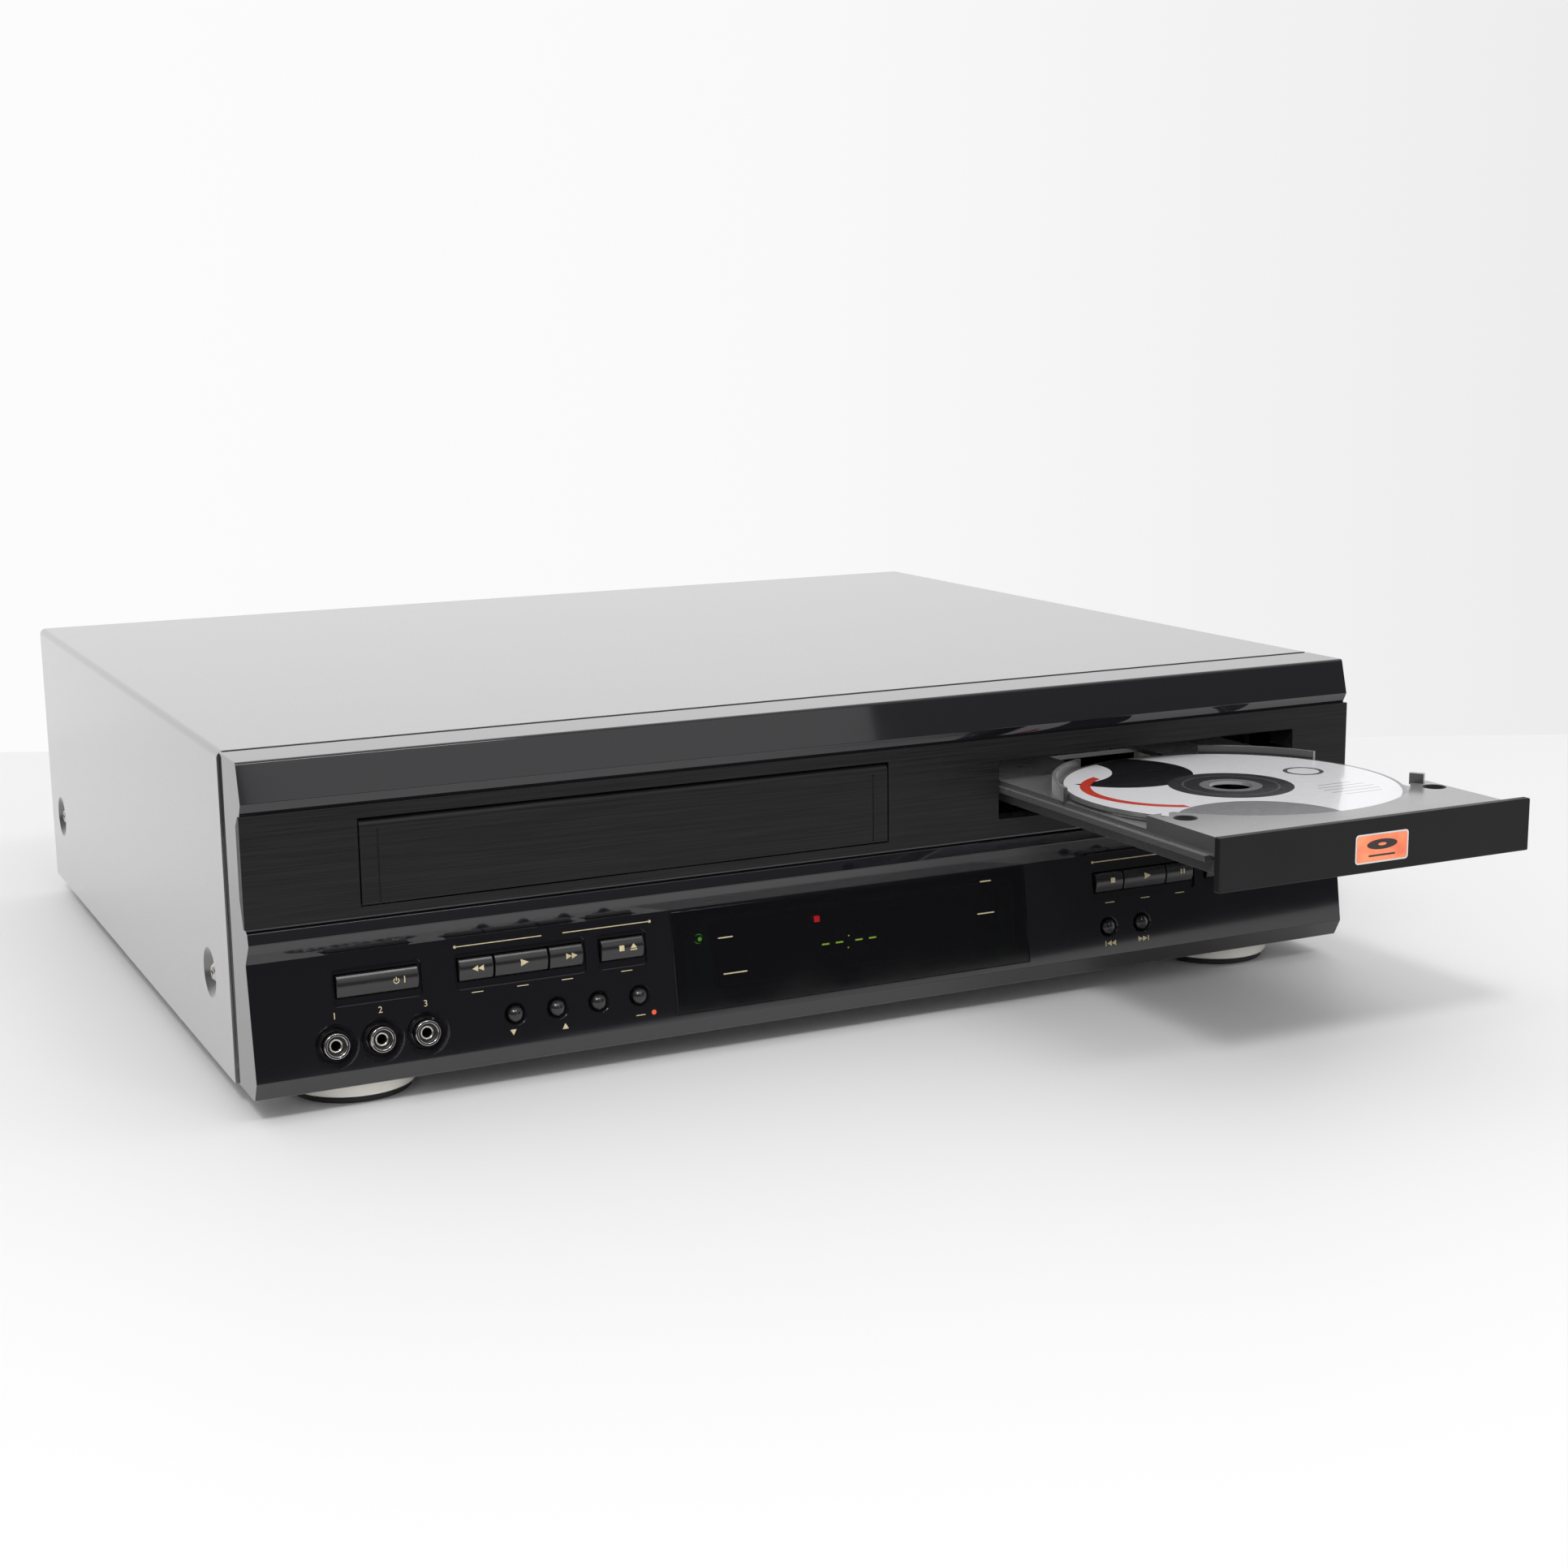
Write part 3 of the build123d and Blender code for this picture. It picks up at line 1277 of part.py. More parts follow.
with BuildPart() as loader_frame:
    # floor with side walls
    with BuildSketch(front_plane(loader_front_y)):
        wall_top = slot_top
        with Locations((tray_center, (loader_base + wall_top) / 2)):
            Rectangle(2 * loader_half, wall_top - loader_base)
        with Locations((tray_center, (loader_base + loader_wall + wall_top) / 2 + 5)):
            Rectangle(
                2 * (loader_half - loader_wall),
                wall_top - loader_base - loader_wall + 10,
                mode=Mode.SUBTRACT,
            )
        # ledges under the tray's rails
        for side in (-1, 1):
            with Locations((tray_center + side * (loader_half - loader_wall - 1.6), ledge_top - 1.5)):
                Rectangle(3.4, 3)
    extrude(amount=-loader_depth)
    # guides over the rails, at the front and half way back
    for side in (-1, 1):
        tab_x = tray_center + side * (loader_half - loader_wall - 0.9)
        for tab_y in (loader_front_y + 5, loader_front_y + 70):
            with Locations((tab_x, tab_y, rail_top + fit_gap + 0.5)):
                Box(2.2, 8, 1.0)
    # opening in the floor for the traverse
    with BuildSketch(Plane.XY.offset(loader_base)):
        with Locations((tray_center, (spindle_y - 24 + loader_back_y - 12) / 2)):
            RectangleRounded(84, loader_back_y - 12 - (spindle_y - 24), 4)
    extrude(amount=loader_wall, mode=Mode.SUBTRACT)
    # rear wall
    with BuildSketch(front_plane(loader_back_y)):
        with Locations((tray_center, (loader_base + ledge_top - 10) / 2)):
            Rectangle(2 * loader_half, ledge_top - 10 - loader_base)
    extrude(amount=loader_wall)
    # legs down to the chassis floor
    for side in (-1, 1):
        for leg_y in (loader_front_y + 12, loader_back_y - 12):
            with BuildSketch(Plane.XY.offset(chassis_top)):
                with Locations((tray_center + side * (loader_half - 5), leg_y)):
                    Circle(4)
            extrude(amount=loader_base - chassis_top)
    # posts for the two gears
    with BuildSketch(Plane.XY.offset(loader_base)):
        with Locations((pinion_x, pinion_y), (pulley_gear_x, pinion_y)):
            Circle(post_radius)
    extrude(amount=large_base + 7 - loader_base)
    with Locations((motor_x, pinion_y, loader_base + loader_wall)):
        Hole(motor_boss_radius + pin_gap, depth=loader_wall)
loader_frame.part.label = "loader_frame"
export_step(loader_frame.part, "parts/loader_frame.step")

# Pinion under the rack with the larger wheel that drives it
with BuildPart() as tray_pinion:
    pinion_base = rack_base + 1.0
    with BuildSketch(Plane.XY.offset(pinion_base)):
        with Locations((pinion_x, pinion_y)):
            add(pinion_outline)
    extrude(amount=gear_width)
    with BuildSketch(Plane.XY.offset(large_base)):
        with Locations((pinion_x, pinion_y)):
            add(large_outline)
    extrude(amount=3.0)
    with BuildSketch(Plane.XY.offset(loader_base + loader_wall + fit_gap)):
        with Locations((pinion_x, pinion_y)):
            Circle(5.0)
    extrude(amount=pinion_base - (loader_base + loader_wall + fit_gap))
    with Locations((pinion_x, pinion_y, large_base + 7 + fit_gap)):
        Hole(post_radius + pin_gap, depth=large_base + 7 - loader_base)
tray_pinion.part.label = "tray_pinion"
export_step(tray_pinion.part, "parts/tray_pinion.step")

# Belt pulley with the small wheel
with BuildPart() as pulley_gear:
    with BuildSketch(Plane.XY.offset(large_base)):
        with Locations((pulley_gear_x, pinion_y)):
            add(small_outline)
    extrude(amount=3.0)
    with BuildSketch(Plane.XY.offset(pulley_base)):
        with Locations((pulley_gear_x, pinion_y)):
            Circle(pulley_radius)
    extrude(amount=4.0)
    with BuildSketch(Plane.XY.offset(pulley_base + 1.2)):
        with Locations((pulley_gear_x, pinion_y)):
            Circle(pulley_radius)
            Circle(pulley_radius - 1.2, mode=Mode.SUBTRACT)
    extrude(amount=1.6, mode=Mode.SUBTRACT)
    with BuildSketch(Plane.XY.offset(loader_base + loader_wall + fit_gap)):
        with Locations((pulley_gear_x, pinion_y)):
            Circle(4.0)
    extrude(amount=large_base - (loader_base + loader_wall + fit_gap))
    with Locations((pulley_gear_x, pinion_y, large_base + 3.0)):
        Hole(post_radius + pin_gap, depth=large_base + 3.0 - loader_base)
pulley_gear.part.label = "pulley_gear"
export_step(pulley_gear.part, "parts/pulley_gear.step")

# Motor under the loader's floor, its pulley, and the belt to the gear
groove_radius = pulley_radius - 1.2
motor_groove_radius = motor_pulley_radius - 1.0

with BuildPart() as loader_motor:
    with BuildSketch(Plane.XY.offset(loader_base - 18)):
        with Locations((motor_x, pinion_y)):
            Circle(10)
            Rectangle(15, 30, mode=Mode.INTERSECT)
    extrude(amount=18)
    with BuildSketch(Plane.XY.offset(loader_base)):
        with Locations((motor_x, pinion_y)):
            Circle(motor_boss_radius)
    extrude(amount=loader_wall)
    with BuildSketch(Plane.XY.offset(loader_base + loader_wall)):
        with Locations((motor_x, pinion_y)):
            Circle(1.0)
    extrude(amount=pulley_base + 3 - loader_base - loader_wall)
loader_motor.part.label = "loader_motor"
export_step(loader_motor.part, "parts/loader_motor.step")

with BuildPart() as motor_pulley:
    with BuildSketch(Plane.XY.offset(loader_base + loader_wall + fit_gap)):
        with Locations((motor_x, pinion_y)):
            Circle(motor_pulley_radius)
    extrude(amount=pulley_base + 4.0 - loader_base - loader_wall - fit_gap)
    with BuildSketch(Plane.XY.offset(pulley_base + 1.2)):
        with Locations((motor_x, pinion_y)):
            Circle(motor_pulley_radius)
            Circle(motor_groove_radius, mode=Mode.SUBTRACT)
    extrude(amount=1.6, mode=Mode.SUBTRACT)
    with Locations((motor_x, pinion_y, pulley_base + 3.3)):
        Hole(1.0 + pin_gap, depth=pulley_base + 4.0 - loader_base)
motor_pulley.part.label = "motor_pulley"
export_step(motor_pulley.part, "parts/motor_pulley.step")


def belt_loop(growth):
    """The filled outline of the belt round both grooves, grown by this much."""
    with BuildSketch() as loop:
        with Locations((motor_x, pinion_y)):
            Circle(motor_groove_radius + growth)
        with Locations((pulley_gear_x, pinion_y)):
            Circle(groove_radius + growth)
        make_hull()
    return loop.sketch


belt_outer = belt_loop(1.1)
belt_inner = belt_loop(0.1)

with BuildPart() as tray_belt:
    with BuildSketch(Plane.XY.offset(pulley_base + 1.5)):
        add(belt_outer)
        add(belt_inner, mode=Mode.SUBTRACT)
    extrude(amount=1.0)
tray_belt.part.label = "tray_belt"
export_step(tray_belt.part, "parts/tray_belt.step")

# Traverse: the plate that carries the spindle motor and the pickup's rods
traverse_base_z = loader_base + loader_wall
traverse_front = spindle_y - 30.0
traverse_back = loader_back_y - 4.0
rod_z = traverse_base_z + 9.0
rod_front = spindle_y + 13.5
sled_length = 26.0
sled_front = spindle_y + 17.0
rod_back = sled_front + sled_length + sled_travel + 8.0
rod_offset = 24.0
motor_height = 12.0

with BuildPart() as traverse_base:
    with BuildSketch(Plane.XY.offset(traverse_base_z)):
        with Locations((tray_center, (traverse_front + traverse_back) / 2)):
            RectangleRounded(90, traverse_back - traverse_front, 5)
        with Locations((tray_center, (sled_front + rod_back) / 2)):
            RectangleRounded(36, rod_back - sled_front - 6, 3, mode=Mode.SUBTRACT)
    extrude(amount=1.6)
    # spindle motor
    with BuildSketch(Plane.XY.offset(traverse_base_z + 1.6)):
        with Locations((tray_center, spindle_y)):
            Circle(12)
    extrude(amount=motor_height)
    with BuildSketch(Plane.XY.offset(traverse_base_z + 1.6 + motor_height)):
        with Locations((tray_center, spindle_y)):
            Circle(1.0 + pin_gap)
    extrude(amount=-8, mode=Mode.SUBTRACT)
    # blocks and guide rods
    for side in (-1, 1):
        for block_y in (rod_front + 1.5, rod_back - 1.5):
            with BuildSketch(Plane.XY.offset(traverse_base_z + 1.6)):
                with Locations((tray_center + side * rod_offset, block_y)):
                    Rectangle(7, 3)
            extrude(amount=rod_z + 3 - traverse_base_z - 1.6)
        with BuildSketch(front_plane(rod_front)):
            with Locations((tray_center + side * rod_offset, rod_z)):
                Circle(guide_rod_radius)
        extrude(amount=-(rod_back - rod_front))
traverse_base.part.label = "traverse_base"
export_step(traverse_base.part, "parts/traverse_base.step")

with BuildPart() as turntable:
    table_base = traverse_base_z + 1.6 + motor_height + fit_gap
    with BuildSketch(Plane.XZ.offset(-spindle_y)):
        with BuildLine():
            Polyline(
                (tray_center, table_base - 7),
                (tray_center + 1.0, table_base - 7),
                (tray_center + 1.0, table_base),
                (tray_center + 6.0, table_base),
                (tray_center + 6.0, table_base + 3.0),
                (tray_center + turntable_radius, table_base + 3.0),
                (tray_center + turntable_radius, table_base + 5.0),
                (tray_center + disc_hole_radius - 0.2, table_base + 5.0),
                (tray_center + disc_hole_radius - 0.6, table_base + 7.0),
                (tray_center + 4.0, table_base + 8.6),
                (tray_center, table_base + 8.6),
                close=True,
            )
        make_face()
    revolve(axis=Axis((tray_center, spindle_y, 0), (0, 0, 1)))
turntable.part.label = "turntable"
export_step(turntable.part, "parts/turntable.step")

with BuildPart() as pickup_sled:
    with BuildSketch(front_plane(sled_front)):
        with Locations((tray_center, rod_z)):
            Rectangle(2 * rod_offset + 9, 8)
        # bores that run on the guide rods
        for side in (-1, 1):
            with Locations((tray_center + side * rod_offset, rod_z)):
                Circle(guide_rod_radius + pin_gap, mode=Mode.SUBTRACT)
    extrude(amount=-sled_length)
    # lens housing and lens
    with BuildSketch(Plane.XY.offset(rod_z + 4)):
        with Locations((tray_center, sled_front + 9)):
            RectangleRounded(22, 16, 2)
    extrude(amount=5)
    with BuildSketch(Plane.XY.offset(rod_z + 9)):
        with Locations((tray_center, sled_front + 9)):
            Circle(3.5)
    extrude(amount=1.0)
pickup_sled.part.label = "pickup_sled"
export_step(pickup_sled.part, "parts/pickup_sled.step")

# Bridge over the tray with the puck that clamps the disc
bridge_base = slot_top
bridge_wall = 1.5

with BuildPart() as clamp_bridge:
    with BuildSketch(Plane.XY.offset(bridge_base)):
        with Locations((tray_center, spindle_y)):
            Rectangle(2 * loader_half, 26)
            Circle(22)
            Circle(9, mode=Mode.SUBTRACT)
    extrude(amount=bridge_wall)
clamp_bridge.part.label = "clamp_bridge"
export_step(clamp_bridge.part, "parts/clamp_bridge.step")

with BuildPart() as clamper:
    puck_top = bridge_base - fit_gap
    with BuildSketch(Plane.XZ.offset(-spindle_y)):
        with BuildLine():
            Polyline(
                (tray_center, puck_top - 2.6),
                (tray_center + clamper_radius, puck_top - 2.6),
                (tray_center + clamper_radius, puck_top),
                (tray_center + 8.0, puck_top),
                (tray_center + 8.0, bridge_base + bridge_wall + fit_gap),
                (tray_center + 11.5, bridge_base + bridge_wall + fit_gap),
                (tray_center + 10.5, bridge_base + bridge_wall + fit_gap + 1.5),
                (tray_center, bridge_base + bridge_wall + fit_gap + 1.5),
                close=True,
            )
        make_face()
    revolve(axis=Axis((tray_center, spindle_y, 0), (0, 0, 1)))
clamper.part.label = "clamper"
export_step(clamper.part, "parts/clamper.step")

# ---------------------------------------------------------------- rear and electronics

rear_panel_y = rear_y - sheet
rear_inside_y = rear_panel_y - sheet
socket_end_y = rear_y + jack_reach
board_base = chassis_top + board_lift
board_top = board_base + board_wall
board_back = rear_inside_y - 2.0
board_front = max(loader_back_y, deck_back_y) + 12
power_left = board_end_gap - case_width / 2
power_right = power_left + power_board_width
main_left = power_right + boards_gap
main_right = case_width / 2 - board_end_gap
rear_jacks_x = main_right - rear_jacks_inset
aerial_x = main_left + aerial_inset
inlet_x = power_left + inlet_inset
jack_rows_z = board_top + rear_jacks_lift
aerial_z = board_top + aerial_lift
inlet_z = board_top + inlet_lift

with BuildPart() as rear_panel:
    panel_high = cover_top - sheet - fit_gap
    with BuildSketch(front_plane(rear_panel_y)):
        with Locations((0, (chassis_floor + panel_high) / 2)):
            RectangleRounded(
                case_width - 2 * (sheet + fit_gap), panel_high - chassis_floor, fold_radius - sheet
            )
        with Locations((rear_jacks_x, jack_rows_z)):
            with GridLocations(rear_jack_pitch, rear_jack_rise, 6, 2):
                Circle(jack_radius + collar_wall + fit_gap, mode=Mode.SUBTRACT)
        with Locations((aerial_x, aerial_z)):
            with GridLocations(aerial_pitch, 0, 2, 1):
                Circle(aerial_radius + collar_wall + fit_gap, mode=Mode.SUBTRACT)
        with Locations((inlet_x, inlet_z)):
            RectangleRounded(inlet_width - 4, 14, 2, mode=Mode.SUBTRACT)
        # cooling slots
        with Locations((-case_width / 4, chassis_top + 72), (rear_jacks_x, chassis_top + 80)):
            with GridLocations(8, 0, 14, 1):
                SlotOverall(22, 3, rotation=90, mode=Mode.SUBTRACT)
        for screw_x in rear_screws_x:
            with Locations((screw_x, rear_screw_z)):
                Circle(screw_radius + screw_gap, mode=Mode.SUBTRACT)
    extrude(amount=sheet)
    # foot flange on the chassis floor
    with BuildSketch(Plane.XY.offset(chassis_top)):
        with Locations((0, rear_panel_y - sheet - 5)):
            Rectangle(2 * (chassis_half - sheet - fit_gap), 10)
    extrude(amount=sheet)
rear_panel.part.label = "rear_panel"
export_step(rear_panel.part, "parts/rear_panel.step")

# Rear sockets: six moulded blocks side by side, each with two sleeves on collars
rear_block_depth = 14.0

with BuildPart() as rear_jacks:
    for index in range(6):
        jack_x = rear_jacks_x + (index - 2.5) * rear_jack_pitch
        with BuildPart(mode=Mode.PRIVATE) as socket_pair:
            with BuildSketch(Plane.XY.offset(board_top)):
                with Locations((jack_x, rear_inside_y - rear_block_depth / 2)):
                    Rectangle(rear_jack_pitch - fit_gap, rear_block_depth)
            extrude(amount=rear_jacks_lift + rear_jack_rise)
            with BuildSketch(front_plane(rear_inside_y)):
                with Locations((jack_x, jack_rows_z)):
                    with GridLocations(0, rear_jack_rise, 1, 2):
                        Circle(jack_radius + collar_wall)
            extrude(amount=-(sheet + collar_reach))
            with BuildSketch(front_plane(rear_inside_y)):
                with Locations((jack_x, jack_rows_z)):
                    with GridLocations(0, rear_jack_rise, 1, 2):
                        Circle(jack_radius)
            extrude(amount=-(socket_end_y - rear_inside_y))
            with BuildSketch(front_plane(socket_end_y)):
                with Locations((jack_x, jack_rows_z)):
                    with GridLocations(0, rear_jack_rise, 1, 2):
                        Circle(jack_radius - 0.9)
            extrude(amount=socket_recess, mode=Mode.SUBTRACT)
            with BuildSketch(front_plane(socket_end_y)):
                with Locations((jack_x, jack_rows_z)):
                    with GridLocations(0, rear_jack_rise, 1, 2):
                        Circle(jack_bore)
            extrude(amount=rear_bore_depth, mode=Mode.SUBTRACT)
        add(socket_pair.part)
rear_jacks.part.label = "rear_jacks"
export_step(rear_jacks.part, "parts/rear_jacks.step")

# Shielded aerial unit with its two screw-on sockets
with BuildPart() as aerial_unit:
    can_depth = 60.0
    with BuildSketch(Plane.XY.offset(board_top)):
        with Locations((aerial_x, rear_inside_y - can_depth / 2)):
            Rectangle(2 * aerial_pitch + 6, can_depth)
    extrude(amount=2 * aerial_lift - 2)
    with BuildSketch(front_plane(rear_inside_y)):
        with Locations((aerial_x, aerial_z)):
            with GridLocations(aerial_pitch, 0, 2, 1):
                Circle(aerial_radius + collar_wall)
    extrude(amount=-(sheet + collar_reach))
    with BuildSketch(front_plane(rear_inside_y)):
        with Locations((aerial_x, aerial_z)):
            with GridLocations(aerial_pitch, 0, 2, 1):
                Circle(aerial_radius)
    extrude(amount=-(socket_end_y - rear_inside_y))
    with BuildSketch(front_plane(socket_end_y)):
        with Locations((aerial_x, aerial_z)):
            with GridLocations(aerial_pitch, 0, 2, 1):
                Circle(aerial_bore)
    extrude(amount=rear_bore_depth, mode=Mode.SUBTRACT)
aerial_unit.part.label = "aerial_unit"
export_step(aerial_unit.part, "parts/aerial_unit.step")

# Mains inlet: an eight-shaped well with two pins
with BuildPart() as power_inlet:
    with BuildSketch(front_plane(rear_inside_y)):
        with Locations((inlet_x, (board_top + inlet_z + 9) / 2)):
            Rectangle(inlet_width, inlet_z + 9 - board_top)
    extrude(amount=inlet_depth)
    with BuildSketch(front_plane(rear_inside_y)):
        with Locations((inlet_x, inlet_z)):
            RectangleRounded(inlet_width - 5, 13, 2)
    extrude(amount=-2 * sheet)
    with BuildSketch(front_plane(rear_y)):
        with Locations((inlet_x, inlet_z)):
            SlotOverall(inlet_pin_pitch + 7.4, 8)
    extrude(amount=12, mode=Mode.SUBTRACT)
    with BuildSketch(front_plane(rear_y - 2)):
        with Locations((inlet_x, inlet_z)):
            with GridLocations(inlet_pin_pitch, 0, 2, 1):
                Circle(inlet_pin_radius)
    extrude(amount=11)
power_inlet.part.label = "power_inlet"
export_step(power_inlet.part, "parts/power_inlet.step")

with BuildPart() as main_board:
    with BuildSketch(Plane.XY.offset(board_base)):
        with Locations(((main_left + main_right) / 2, (board_front + board_back) / 2)):
            Rectangle(main_right - main_left, board_back - board_front)
    extrude(amount=board_wall)
    with BuildSketch(Plane.XY.offset(chassis_top)):
        with Locations(((main_left + main_right) / 2, (board_front + board_back) / 2 - 4)):
            with GridLocations(main_right - main_left - 16, board_back - board_front - 26, 2, 2):
                Circle(3)
    extrude(amount=board_base - chassis_top)
    # processor chips and capacitors
    with BuildSketch(Plane.XY.offset(board_top)):
        with Locations((main_right - 84, board_front + 32)):
            Rectangle(28, 28)
        with Locations((main_right - 134, board_front + 30)):
            Rectangle(20, 20)
    extrude(amount=2.4)
    with BuildSketch(Plane.XY.offset(board_top)):
        with Locations((main_right - 34, board_front + 36)):
            with GridLocations(14, 14, 3, 3):
                Circle(4)
        with Locations((main_left + 88, board_front + 26)):
            with GridLocations(12, 14, 4, 2):
                Circle(3)
    extrude(amount=11)
main_board.part.label = "main_board"
export_step(main_board.part, "parts/main_board.step")

with BuildPart() as power_board:
    with BuildSketch(Plane.XY.offset(board_base)):
        with Locations(((power_left + power_right) / 2, (board_front + board_back) / 2)):
            Rectangle(power_right - power_left, board_back - board_front)
    extrude(amount=board_wall)
    with BuildSketch(Plane.XY.offset(chassis_top)):
        with Locations(((power_left + power_right) / 2, (board_front + board_back) / 2 - 4)):
            with GridLocations(power_right - power_left - 14, board_back - board_front - 24, 2, 2):
                Circle(3)
    extrude(amount=board_base - chassis_top)
    # transformer with its winding, reservoir capacitors and a finned heat sink
    with BuildSketch(Plane.XY.offset(board_top)):
        with Locations((power_left + 55, board_front + 34)):
            Rectangle(38, 32)
    extrude(amount=26)
    with BuildSketch(Plane.XY.offset(board_top)):
        with Locations((power_left + 55, board_front + 34)):
            Rectangle(28, 42)
    extrude(amount=20)
    with BuildSketch(Plane.XY.offset(board_top)):
        with Locations((power_left + 88, board_front + 18), (power_left + 109, board_front + 18)):
            Circle(9)
    extrude(amount=30)
    with BuildSketch(Plane.XY.offset(board_top)):
        with Locations((power_left + 102, board_front + 54)):
            Rectangle(46, 2)
            with GridLocations(8, 0, 6, 1):
                Rectangle(1.5, 14)
    extrude(amount=28)
power_board.part.label = "power_board"
export_step(power_board.part, "parts/power_board.step")

# One pattern of screw in the cover's sides, its back and the feet
with BuildPart() as screw_pattern:
    with BuildSketch(Plane.XZ):
        with BuildLine():
            Polyline(
                (0, -screw_length),
                (screw_radius, -screw_length),
                (screw_radius, 0),
                (screw_head_radius, 0),
                (screw_head_radius, screw_head_height * 0.6),
                (screw_head_radius * 0.7, screw_head_height),
                (0, screw_head_height),
                close=True,
            )
        make_face()
    revolve(axis=Axis.Z)
    # cross recess in the head
    with BuildSketch(Plane.XY.offset(screw_head_height)):
        Rectangle(3.4, 0.8)
        Rectangle(0.8, 3.4)
    extrude(amount=-1.2, mode=Mode.SUBTRACT)
screw_shape = screw_pattern.part

screw_planes = []
for side in (-1, 1):
    head_x = side * (case_width / 2 - side_seat_depth)
    for seat_y in side_seats:
        screw_planes.append(Plane(origin=(head_x, seat_y, seat_z), z_dir=(side, 0, 0)))
for screw_x in rear_screws_x:
    screw_planes.append(Plane(origin=(screw_x, rear_y, rear_screw_z), z_dir=(0, 1, 0)))
for foot_x, foot_y in foot_places.values():
    screw_planes.append(Plane(origin=(foot_x, foot_y, foot_height / 2), z_dir=(0, 0, -1)))

with BuildPart() as case_screws:
    with Locations(*screw_planes):
        add(screw_shape)
case_screws.part.label = "case_screws"
export_step(case_screws.part, "parts/case_screws.step")
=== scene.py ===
"""Looks of the disc and cassette player with its tray open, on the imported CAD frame."""
import json
import math
import bmesh
import bpy
from mathutils import Matrix, Vector


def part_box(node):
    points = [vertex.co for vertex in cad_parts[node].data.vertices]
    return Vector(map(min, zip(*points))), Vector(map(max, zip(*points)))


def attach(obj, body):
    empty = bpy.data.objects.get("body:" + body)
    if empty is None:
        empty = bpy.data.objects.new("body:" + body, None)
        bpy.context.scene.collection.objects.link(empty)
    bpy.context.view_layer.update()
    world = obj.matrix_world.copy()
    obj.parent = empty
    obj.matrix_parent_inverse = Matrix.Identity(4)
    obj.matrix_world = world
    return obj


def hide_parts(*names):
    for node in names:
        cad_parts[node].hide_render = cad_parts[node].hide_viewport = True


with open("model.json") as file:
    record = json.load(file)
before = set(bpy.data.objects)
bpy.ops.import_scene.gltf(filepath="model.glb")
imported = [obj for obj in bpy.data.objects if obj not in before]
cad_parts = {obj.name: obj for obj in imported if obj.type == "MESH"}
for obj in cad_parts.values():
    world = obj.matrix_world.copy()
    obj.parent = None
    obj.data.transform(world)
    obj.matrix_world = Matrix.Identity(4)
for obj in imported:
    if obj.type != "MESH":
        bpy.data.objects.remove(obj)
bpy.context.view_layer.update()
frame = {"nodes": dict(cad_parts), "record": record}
nodes = frame["nodes"]

# ---------------------------------------------------------------- chassis and rear panel
# Galvanised steel tray that everything is screwed to, and the black rear panel. Zinc shows
# broad, faint crystals, and the rear panel is painted with a fine orange peel.


def new_finish(name, colour, roughness, metallic=0.0):
    """A material with one Principled shader; returns it with its node tree and shader."""
    material = bpy.data.materials.new(name)
    material.use_nodes = True
    tree = material.node_tree
    shader = tree.nodes["Principled BSDF"]
    shader.inputs["Base Color"].default_value = (*colour, 1.0)
    shader.inputs["Roughness"].default_value = roughness
    shader.inputs["Metallic"].default_value = metallic
    return material, tree, shader


def noise_on_object(tree, scale, detail=3.0, stretch=(1.0, 1.0, 1.0)):
    """Noise on Object coordinates, in features per metre along each axis."""
    place = tree.nodes.new("ShaderNodeTexCoord")
    mapping = tree.nodes.new("ShaderNodeMapping")
    mapping.inputs["Scale"].default_value = stretch
    noise = tree.nodes.new("ShaderNodeTexNoise")
    noise.inputs["Scale"].default_value = scale
    noise.inputs["Detail"].default_value = detail
    tree.links.new(place.outputs["Object"], mapping.inputs["Vector"])
    tree.links.new(mapping.outputs["Vector"], noise.inputs["Vector"])
    return noise


def vary_roughness(tree, shader, noise, low, high):
    """The noise moves the roughness between two values."""
    noise_low, noise_high = 0.3, 0.7
    spread = tree.nodes.new("ShaderNodeMapRange")
    spread.inputs["From Min"].default_value = noise_low
    spread.inputs["From Max"].default_value = noise_high
    spread.inputs["To Min"].default_value = low
    spread.inputs["To Max"].default_value = high
    tree.links.new(noise.outputs["Fac"], spread.inputs["Value"])
    tree.links.new(spread.outputs["Result"], shader.inputs["Roughness"])


def vary_colour(tree, shader, noise, dark, light):
    """The noise mixes two colours."""
    dark_end, light_start = 0.35, 0.65
    ramp = tree.nodes.new("ShaderNodeValToRGB")
    low_stop, high_stop = ramp.color_ramp.elements
    low_stop.position, high_stop.position = dark_end, light_start
    low_stop.color, high_stop.color = (*dark, 1.0), (*light, 1.0)
    tree.links.new(noise.outputs["Fac"], ramp.inputs["Fac"])
    tree.links.new(ramp.outputs["Color"], shader.inputs["Base Color"])


def raise_grain(tree, shader, noise, strength, height):
    """The noise as a bump of this height in metres."""
    bump = tree.nodes.new("ShaderNodeBump")
    bump.inputs["Strength"].default_value = strength
    bump.inputs["Distance"].default_value = height
    tree.links.new(noise.outputs["Fac"], bump.inputs["Height"])
    tree.links.new(bump.outputs["Normal"], shader.inputs["Normal"])


def dress(names, material):
    """These CAD nodes take one material."""
    for name in names:
        mesh = nodes[name].data
        mesh.materials.clear()
        mesh.materials.append(material)


zinc, zinc_tree, zinc_shader = new_finish("zinc_sheet", (0.55, 0.56, 0.56), 0.38, 1.0)
zinc_crystals = noise_on_object(zinc_tree, 90.0, 2.0)
vary_roughness(zinc_tree, zinc_shader, zinc_crystals, 0.30, 0.48)
vary_colour(zinc_tree, zinc_shader, zinc_crystals, (0.46, 0.47, 0.48), (0.62, 0.63, 0.63))
dress(["bottom_chassis", "clamp_bridge"], zinc)

